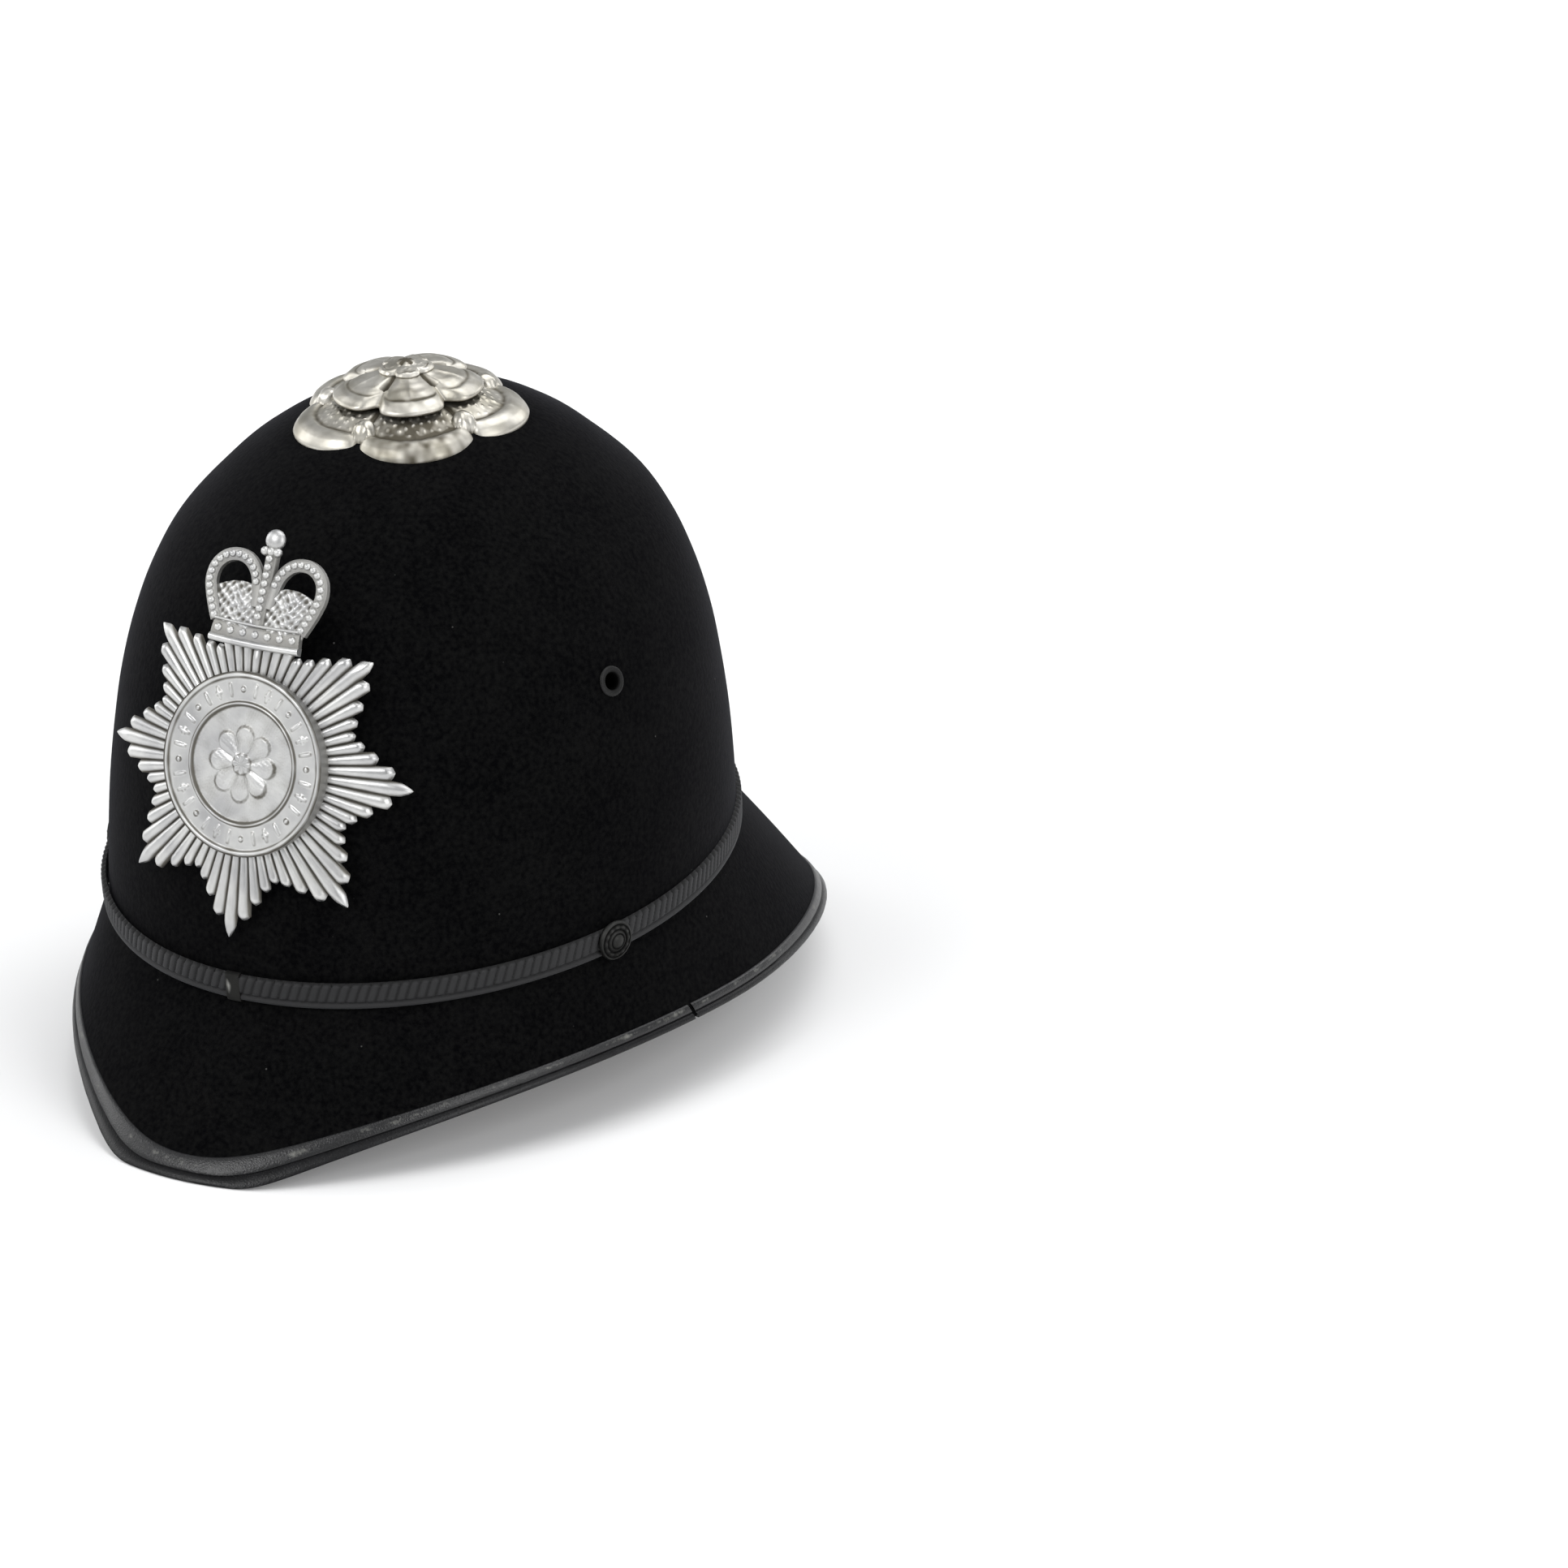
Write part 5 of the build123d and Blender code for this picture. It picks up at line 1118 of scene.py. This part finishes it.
outer_face, inner_face = brim_lining_rows(-(FELT + SHELL) - 0.02), brim_lining_rows(-WALL)
pucker = PUCKER_MM * unevenness(full_turn[None, :] * 30, np.linspace(0, 4, LINING_ROWS)[:, None], 6.0)
inner_face[..., 2] += pucker * np.sin(np.linspace(0, np.pi, LINING_ROWS))[:, None]
run, fall = run_of(inner_face[10]), run_of(inner_face[:, 90])
rows = closed(np.concatenate([outer_face, inner_face[::-1]]))
uv = paired(run[None, :], closed(np.concatenate([fall, fall[::-1]])[:, None]))
brim_cloth = piece("brim_lining_cloth", [{"points": rows, "uv": uv, "wear": 0.2}], lining_cloth,
                   ["brim_lining"], 60)
fall_longest = max(run_of(column)[-1] for column in inner_face.swapaxes(0, 1))
print("brim lining cut from", round(run[-1]), "by", round(fall_longest), "mm")

# %% [markdown]
# ## Headband
# The headband is a strip of smooth tan leather. Both its edges are turned, and a line of stitches runs near
# each. The leather is smooth, with fine pores, and darkens where a forehead has rested.

# %% Headband leather
sweat_leather, tree, shader, place = start_material("smooth_tan_leather", {"Specular IOR Level": 0.5})
PORE_MM, CREASE_MM = 0.7, 14.0
pores = add(tree, "TexVoronoi", {"Vector": place, "Scale": 1000 / PORE_MM})
crease = add(tree, "TexNoise", {"Vector": place, "Scale": 1000 / CREASE_MM, "Detail": 6.0})
worn = add(tree, "Attribute", attribute_name="wear").outputs["Fac"]
tone = add(tree, "Math", {0: worn, 1: 0.5, 2: crease}, operation="MULTIPLY_ADD")
pored = add(tree, "Bump", {"Strength": 0.25, "Distance": 0.1 * MM, "Height": pores})
fill(tree, shader, {
    "Base Color": add(tree, "ValToRGB", {0: tone}, [(0.3, "#a06a3c"), (0.65, "#855430"), (1.05, "#5a3519")]),
    "Roughness": add(tree, "MapRange", {0: crease, 1: 0.3, 2: 0.7, 3: 0.36, 4: 0.52}),
    "Normal": add(tree, "Bump", {"Strength": 0.3, "Distance": 0.5 * MM, "Height": crease, "Normal": pored})})

# %% Headband
HEADBAND_TOP = 50.0
HEADBAND_PROFILE = np.array([
    (8.56, 13.7, 0.4), (8.53, 20.0, 0.3), (8.53, 31.0, 0.3), (8.53, 43.0, 0.3), (8.56, 49.3, 0.4),
    (8.9, 49.9, 0.6), (9.5, 49.9, 0.6), (10.0, 49.3, 0.5), (9.85, 46.9, 0.1), (10.05, 45.5, 0.0),
    (10.07, 38.0, 0.1), (10.07, 31.0, 0.3), (10.07, 24.0, 0.6), (10.05, 17.6, 0.7), (9.85, 16.2, 0.5),
    (10.0, 13.8, 0.7), (9.5, 13.1, 0.8), (8.9, 13.1, 0.7)])


def in_dome(height, turn, out):
    """A point inside the dome at a height over the band's plane and a distance out, which is negative."""
    return dome(height / (DOME_HEIGHT + out), turn, out)


depth, height, wear = closed(HEADBAND_PROFILE).T[:, :, None]
rows = in_dome(height, full_turn[None, :], -depth)
headband_run = run_of(rows[11])
brow = (1 + np.cos(full_turn[None, :])) ** 2 / 4
wear = np.clip(wear * (0.5 + brow), 0, 1)
piece("leather_headband", [{"points": rows, "uv": paired(headband_run[None, :], height), "wear": wear}],
      sweat_leather, ["sweatband"], 50)

# %% [markdown]
# A stitch is one small capsule, and each line has one every 5 mm. One stack of equal grids holds them all.

# %% Headband stitches
STITCH_PITCH, STITCH_LENGTH, STITCH_RADIUS, STITCH_LEVELS, TWIST_MM = 5.0, 3.4, 0.28, (46.9, 16.2), 0.6
thread, tree, shader, place = start_material("waxed_linen_thread", {"Roughness": 0.6})
twist = add(tree, "TexNoise", {"Vector": place, "Scale": 1000 / TWIST_MM, "Detail": 2.0})
fill(tree, shader, {"Base Color": add(tree, "ValToRGB", {0: twist}, [(0.3, "#8f7650"), (0.7, "#c9b083")])})
stitch_number = round(headband_run[-1] / STITCH_PITCH)
stitch_turn = np.arange(stitch_number) / stitch_number * TURN
half_turn = STITCH_LENGTH / 2 / (headband_run[-1] / TURN)
along = np.array([-1.0, -1.0, -0.7, 0.7, 1.0, 1.0]) * half_turn
thick = np.array([0.0, 0.5, 1.0, 1.0, 0.5, 0.0])[:, None] * STITCH_RADIUS
round_it = np.linspace(0, TURN, 7)
stitch_turns = stitch_turn[:, None, None] + along[:, None] + 0 * round_it
stitch_rows = [in_dome(level + thick * np.sin(round_it), stitch_turns, -9.95 - thick * np.cos(round_it))
               for level in STITCH_LEVELS]
piece("headband_stitches", [{"points": np.concatenate(stitch_rows), "wear": 0.2}], thread,
      (), 60)
print("stitches:", 2 * stitch_number)

# %% [markdown]
# ## Crown lining and lace
# The lining is one strip sewn to the headband's top and cut into eight tongues. Their ends are drawn in
# over the head by a lace, so each tongue narrows towards the top and bellies a little between its ends.

# %% Crown lining form
TONGUES, TONGUE_GAP, TONGUE_ROOT, LACE_HEIGHT = 8, 5.0, 72.0, 107.0
LINING_HEIGHTS, LINING_SHARES = np.array([(50.0, 1.0), (70.0, 0.93), (94.0, 0.64), (LACE_HEIGHT, 0.26)]).T
ROOT_MEAN = (DOME_LENGTH + DOME_WIDTH) / 4 * 0.954 - 8.7
ROOT_OVAL = (DOME_LENGTH - DOME_WIDTH) / 4 * (1 - OVAL_FADE * HEADBAND_TOP / DOME_HEIGHT)
FACE_INSET, BACK_INSET, RING_BACK_INSET = 0.1, 1.0, 1.1
CLOTH_TOP, TONGUE_UV_HALF, FALL_STRETCH, RING_UV = 106.6, 22.0, 1.6, 88.0


def crown_cloth(height, turn, inset):
    """A lining point: the root's oval less its inset, times a share that falls with the height."""
    share = smooth_table(height, LINING_HEIGHTS, LINING_SHARES)
    half_wide, half_long = ((ROOT_MEAN + oval - inset) * share for oval in (-ROOT_OVAL, ROOT_OVAL))
    lowered = height - inset * (height - HEADBAND_TOP) / (LACE_HEIGHT - HEADBAND_TOP)
    along = DOME_TOP_SHIFT * height / DOME_HEIGHT - half_long * np.cos(turn)
    return over_band(half_wide * np.sin(turn), along, lowered)


def cloth_panel(heights, turns):
    """A closed thin panel over a grid of heights and turns, with both faces and its four edges."""
    face, back = (crown_cloth(heights, turns, inset) for inset in (FACE_INSET, BACK_INSET))
    middle = (face + back) / 2
    foot, top = (np.concatenate([edge, edge[::-1], edge[:1]])[None] for edge in (middle[0], middle[-1]))
    return np.concatenate([foot, np.concatenate([face, back[:, ::-1], face[:, :1]], 1), top])


# %% Crown lining
band_heights = np.linspace(HEADBAND_TOP + 0.1, TONGUE_ROOT, 8)[:, None]
ring_face, ring_back = (
    crown_cloth(band_heights, full_turn[None, :], inset) for inset in (FACE_INSET, RING_BACK_INSET))
ring_uv = paired(full_turn * RING_UV, closed(np.concatenate([band_heights, band_heights[::-1]])))
lining_grids = [{"points": closed(np.concatenate([ring_face, ring_back[::-1]])), "uv": ring_uv}]
lining_area = skin_area(ring_face)
tongue_height = np.linspace(TONGUE_ROOT - 0.4, CLOTH_TOP, 30)[:, None]
tongue_share = smooth_table(tongue_height, LINING_HEIGHTS, LINING_SHARES)
tongue_half = np.pi / TONGUES - np.arcsin(np.clip(TONGUE_GAP / 2 / (90.0 * tongue_share), 0, 0.38))
tongue_across = np.linspace(-1, 1, 15)
belly = 0.35 * np.cos(tongue_across * np.pi / 2) * np.sin((tongue_height - 71) / 37 * np.pi) ** 2
wide = TONGUE_UV_HALF * np.concatenate([tongue_across, tongue_across[::-1], tongue_across[:1]])
tall = FALL_STRETCH * np.pad(tongue_height, ((1, 1), (0, 0)), mode="edge")
for number in range(TONGUES):
    turns = (number + 0.5) * TURN / TONGUES + tongue_across * tongue_half
    panel = cloth_panel(tongue_height, turns)
    panel[1:-1, :15, 2] += belly * (0.6 + 0.4 * np.sin(number * 2.1))
    lining_grids.append({"points": panel, "uv": paired(wide, tall)})
    lining_area += skin_area(crown_cloth(tongue_height, turns, FACE_INSET))
lining = piece("crown_lining_cloth", lining_grids, lining_cloth, ["crown_lining"], 60)

# %% Lace
lace_cotton, tree, shader, place = start_material(
    "black_lace_cotton", {"Roughness": 0.75, "Specular IOR Level": 0.3})
LAY_MM, LACE_RING, LACE_RADIUS = 0.5, 18.0, 1.3
LACE_TWISTS, STRANDS, STRAND_OFFSET, STRAND_RADIUS = 22, 3, 0.62, 0.66
lay = add(tree, "TexNoise", {"Vector": place, "Scale": 1000 / LAY_MM, "Detail": 2.0})
fill(tree, shader, {
    "Base Color": add(tree, "ValToRGB", {0: lay}, [(0.3, "#1c1c1f"), (0.7, "#3a3a3e")]),
    "Normal": add(tree, "Bump", {"Strength": 0.4, "Distance": 0.1 * MM, "Height": lay})})
ring_angle, tube_angle = np.linspace(0, TURN, 361)[:, None], np.linspace(0, TURN, 10)[None, :]
lace_grids = []
for number in range(STRANDS):
    spin = LACE_TWISTS * ring_angle + number * TURN / STRANDS
    ring = LACE_RING + (STRAND_OFFSET * np.cos(spin) + STRAND_RADIUS * np.cos(tube_angle))
    off_height = STRAND_OFFSET * np.sin(spin) + STRAND_RADIUS * np.sin(tube_angle)
    along = DOME_TOP_SHIFT * LACE_HEIGHT / DOME_HEIGHT - ring * np.cos(ring_angle)
    points = over_band(ring * np.sin(ring_angle), along, LACE_HEIGHT + LACE_RADIUS + off_height)
    lace_grids.append({"points": points})
piece("lace_ring", lace_grids, lace_cotton, ["lining_lace"], 80)
print("lace strands:", STRANDS)

# %% [markdown]
# ## Chin strap
# The strap is two lengths of black leather, one with the buckle and one with the holes. It hinges on the
# posts and is stored hanging back inside the helmet. A flat strap is a rounded profile carried along a line
# of straights and arcs, drawn in the strap's own leaning plane.

# %% Strap leather
strap_leather, tree, shader, place = start_material("black_bridle_leather", {"Specular IOR Level": 0.5})
HIDE_GRAIN_MM, RUB_MM = 0.9, 11.0
grain = add(tree, "TexVoronoi", {"Vector": place, "Scale": 1000 / HIDE_GRAIN_MM}, feature="DISTANCE_TO_EDGE")
rub = add(tree, "TexNoise", {"Vector": place, "Scale": 1000 / RUB_MM, "Detail": 5.0})
worn = add(tree, "Attribute", attribute_name="wear").outputs["Fac"]
tone = add(tree, "Math", {0: worn, 1: 0.35, 2: rub}, operation="MULTIPLY_ADD")
fill(tree, shader, {
    "Base Color": add(tree, "ValToRGB", {0: tone}, [(0.4, "#161617"), (0.75, "#29282a"), (1.0, "#4a453f")]),
    "Roughness": add(tree, "MapRange", {0: rub, 1: 0.3, 2: 0.7, 3: 0.38, 4: 0.58}),
    "Normal": add(tree, "Bump", {"Strength": 0.35, "Distance": 0.12 * MM, "Height": grain})})

# %% Strap frame and path
STRAP_ALONG, STRAP_ACROSS = np.array([0.0, 0.91303, -0.40789]), np.array([0.0, 0.40789, 0.91303])
STRAP_POST_X, STRAP_SHOULDER, STRAP_DROP, CHIN_HALF = 81.905, 8.0, 130.0, 46.0
STRAP_HALF, STRAP_THICK, FOLD_RADIUS, LAYER_GAP, LINE_STEP = 6.35, 2.0, 2.9, 0.15, 1.0
leg_start = np.array([STRAP_POST_X, STRAP_SHOULDER])
leg = np.array([CHIN_HALF, STRAP_DROP]) - leg_start
LEG_LENGTH, LEG_WAY = np.linalg.norm(leg), unit(leg)
LEG_OUT = np.array([LEG_WAY[1], -LEG_WAY[0]])
OUTER_LAYER = FOLD_RADIUS + LAYER_GAP + STRAP_THICK / 2


def in_strap(x, along, across):
    """A place in the strap's plane: x to the left side, along the hanging strap, across its width."""
    return framed(POST_PLACE, STRAP_ALONG, STRAP_ACROSS, x, along, across)


def leg_point(along, out):
    """A point on the left leg, by its distance from the shoulder and outwards."""
    return leg_start + LEG_WAY * along + LEG_OUT * out


def rounded_line(corners, radii):
    """Straights joined by arcs: each corner is cut back by r tan(turn / 2), and its arc is stepped evenly."""
    corners = np.array(corners, float)
    line = [corners[0]]
    for before, corner, after, radius in zip(corners[:-2], corners[1:-1], corners[2:], radii):
        come, go = unit(corner - before), unit(after - corner)
        bend = np.arctan2(come[0] * go[1] - come[1] * go[0], come @ go)
        start = corner - come * radius * np.tan(abs(bend) / 2)
        inward = np.sign(bend) * np.array([-come[1], come[0]])
        steps = np.linspace(0, bend, max(int(abs(bend) * radius / LINE_STEP), 6))[:, None]
        turned_out = np.cos(steps) * -inward + np.sin(np.abs(steps)) * come
        line.extend(start + inward * radius + turned_out * radius)
    line = np.array(line + [corners[-1]])
    run = run_of(line)
    return looked_up(np.linspace(0, run[-1], int(run[-1] / LINE_STEP) + 2), run, line)


STRAP_PROFILE = np.array([
    (-1.0, 0.0, 0.7), (-0.99, 0.35, 0.8), (-0.94, 0.80, 0.9), (-0.86, 0.97, 0.6), (-0.80, 1.0, 0.2),
    (-0.76, 0.90, 0.0), (-0.72, 1.0, 0.1), (0.0, 1.0, 0.2), (0.72, 1.0, 0.1), (0.76, 0.90, 0.0),
    (0.80, 1.0, 0.2), (0.86, 0.97, 0.6), (0.94, 0.80, 0.9), (0.99, 0.35, 0.8), (1.0, 0.0, 0.7),
    (0.99, -0.35, 0.8), (0.94, -0.80, 0.8), (0.86, -0.97, 0.5), (0.0, -1.0, 0.3), (-0.86, -0.97, 0.5),
    (-0.94, -0.80, 0.8), (-0.99, -0.35, 0.8)])


def strap_length(line, *rounded_ends):
    """The profile carried along a line, its width falling to nothing as a half circle at a rounded end."""
    way = unit(np.gradient(line, axis=0))
    run = run_of(line)
    width = np.full(len(line), STRAP_HALF)
    for far, rounded in zip((run, run[-1] - run), rounded_ends):
        if rounded:
            short = np.clip(STRAP_HALF - far, 0, None)
            width = np.minimum(width, np.sqrt(np.clip(STRAP_HALF ** 2 - short ** 2, 0.3, None)))
    across, thick, wear = closed(STRAP_PROFILE).T[:, None]
    sides = way[:, 1], -way[:, 0]
    x, y = (line[:, k, None] + side[:, None] * (thick * STRAP_THICK / 2) for k, side in enumerate(sides))
    return capped(in_strap(x, y, across * width[:, None]), wear)


# %% Strap halves
BUCKLE_ALONG, LONG_END, LOOP_ALONG = np.array([0.45, 0.14, 0.28]) * LEG_LENGTH
BUCKLE_LENGTH, ROLL_GAP, SEAM_GAP = 14.0, 1.5, 1.4
POST_BEND, CHIN_BEND, EYELET_RADIUS = 12.0, 34.0, 3.06
HOLE_RADIUS, HOLE_PITCH, HOLES, HOLE_REACH = 1.3, 9.0, 3, 4
ROLL_PROFILE = np.array([(0.0, 2.86), (0.25, 2.9), (0.75, 2.9), (1.0, 2.86), (1.0, 1.15), (0.0, 1.15)])
heel_bar = leg_point(BUCKLE_ALONG, 0)
post_end = np.array([(STRAP_POST_X, -STRAP_HALF), (STRAP_POST_X, STRAP_SHOULDER)])
corner_along = LEG_LENGTH - LEG_OUT[1] * OUTER_LAYER / LEG_WAY[1]
short_line = rounded_line([*post_end, heel_bar - LEG_WAY * SEAM_GAP], [POST_BEND])
long_line = rounded_line([*post_end * [-1, 1], (-CHIN_HALF, STRAP_DROP), leg_point(corner_along, OUTER_LAYER),
                          leg_point(LONG_END, OUTER_LAYER)], [POST_BEND, CHIN_BEND, CHIN_BEND])
roll_angle = np.linspace(0, TURN, 33)[None, :]
roll_across, roll_radius = closed(ROLL_PROFILE).T[:, :, None]
short_grids = [strap_length(short_line, True, False)]
for side in (-1, 1):
    x, along = heel_bar[0] + roll_radius * np.cos(roll_angle), heel_bar[1] + roll_radius * np.sin(roll_angle)
    points = in_strap(x, along, side * (ROLL_GAP + (STRAP_HALF - ROLL_GAP) * roll_across))
    short_grids.append({"points": points, "wear": 0.4})
short_half = piece("strap_buckle_half", short_grids, strap_leather,
                   ["strap_short_half"], 50, "chin_strap")
long_half = piece("strap_hole_half", [strap_length(long_line, True, True)], strap_leather,
                  ["strap_long_half"], 50, "chin_strap")

# %% [markdown]
# The holes come out with one Boolean for each half: one for the eyelet on its post, and on the long half one
# for the buckle's tongue and three spare.

# %% Strap holes
hole_alongs = [0.62 * BUCKLE_LENGTH] + [BUCKLE_LENGTH + n * HOLE_PITCH for n in range(1, HOLES + 1)]
post_holes = [(POST_PLACE + LEFT_WAY * STRAP_POST_X * side, LEFT_WAY, EYELET_RADIUS, HOLE_REACH)
              for side in (1, -1)]
leg_out_way = LEG_OUT[0] * LEFT_WAY + LEG_OUT[1] * STRAP_ALONG
cut_holes(short_half, post_holes[:1], 28, "chin_strap")
cut_holes(long_half, post_holes[1:] + [
    (in_strap(*leg_point(BUCKLE_ALONG + along, OUTER_LAYER), 0.0), leg_out_way, HOLE_RADIUS, HOLE_REACH)
    for along in hole_alongs], 28, "chin_strap")

# %% Strap keeper
LOOP_WIDTH, LOOP_THICK, LOOP_GAP, SQUARENESS = 7.0, 0.92, 0.06, 5.0
LOOP_PROFILE = np.array([
    (-0.5, 0.2, 0.6), (-0.5, 0.8, 0.9), (-0.42, 0.97, 0.7), (0.0, 1.0, 0.3), (0.42, 0.97, 0.7),
    (0.5, 0.8, 0.9), (0.5, 0.2, 0.6), (0.42, 0.04, 0.3), (0.0, 0.0, 0.2), (-0.42, 0.04, 0.3)])
loop_angle = np.linspace(0, TURN, 97)[None, :]
square_c, square_s = (np.sign(wave) * np.abs(wave) ** (2 / SQUARENESS)
                      for wave in (np.cos(loop_angle), np.sin(loop_angle)))
loop_along, loop_out, loop_wear = (closed(LOOP_PROFILE) * [LOOP_WIDTH, LOOP_THICK, 1]).T[:, :, None]
reach_out = ((OUTER_LAYER + STRAP_THICK) / 2 + LOOP_GAP + loop_out) * square_c
loop_middle = leg_point(LOOP_ALONG, OUTER_LAYER / 2)
loop_x, loop_y = (loop_middle[k] + LEG_WAY[k] * loop_along + LEG_OUT[k] * reach_out for k in (0, 1))
piece("strap_loop", [{"points": in_strap(loop_x, loop_y, (STRAP_HALF + LOOP_GAP + loop_out) * square_s),
                      "wear": loop_wear}], strap_leather, ["strap_keeper"], 50, "chin_strap")
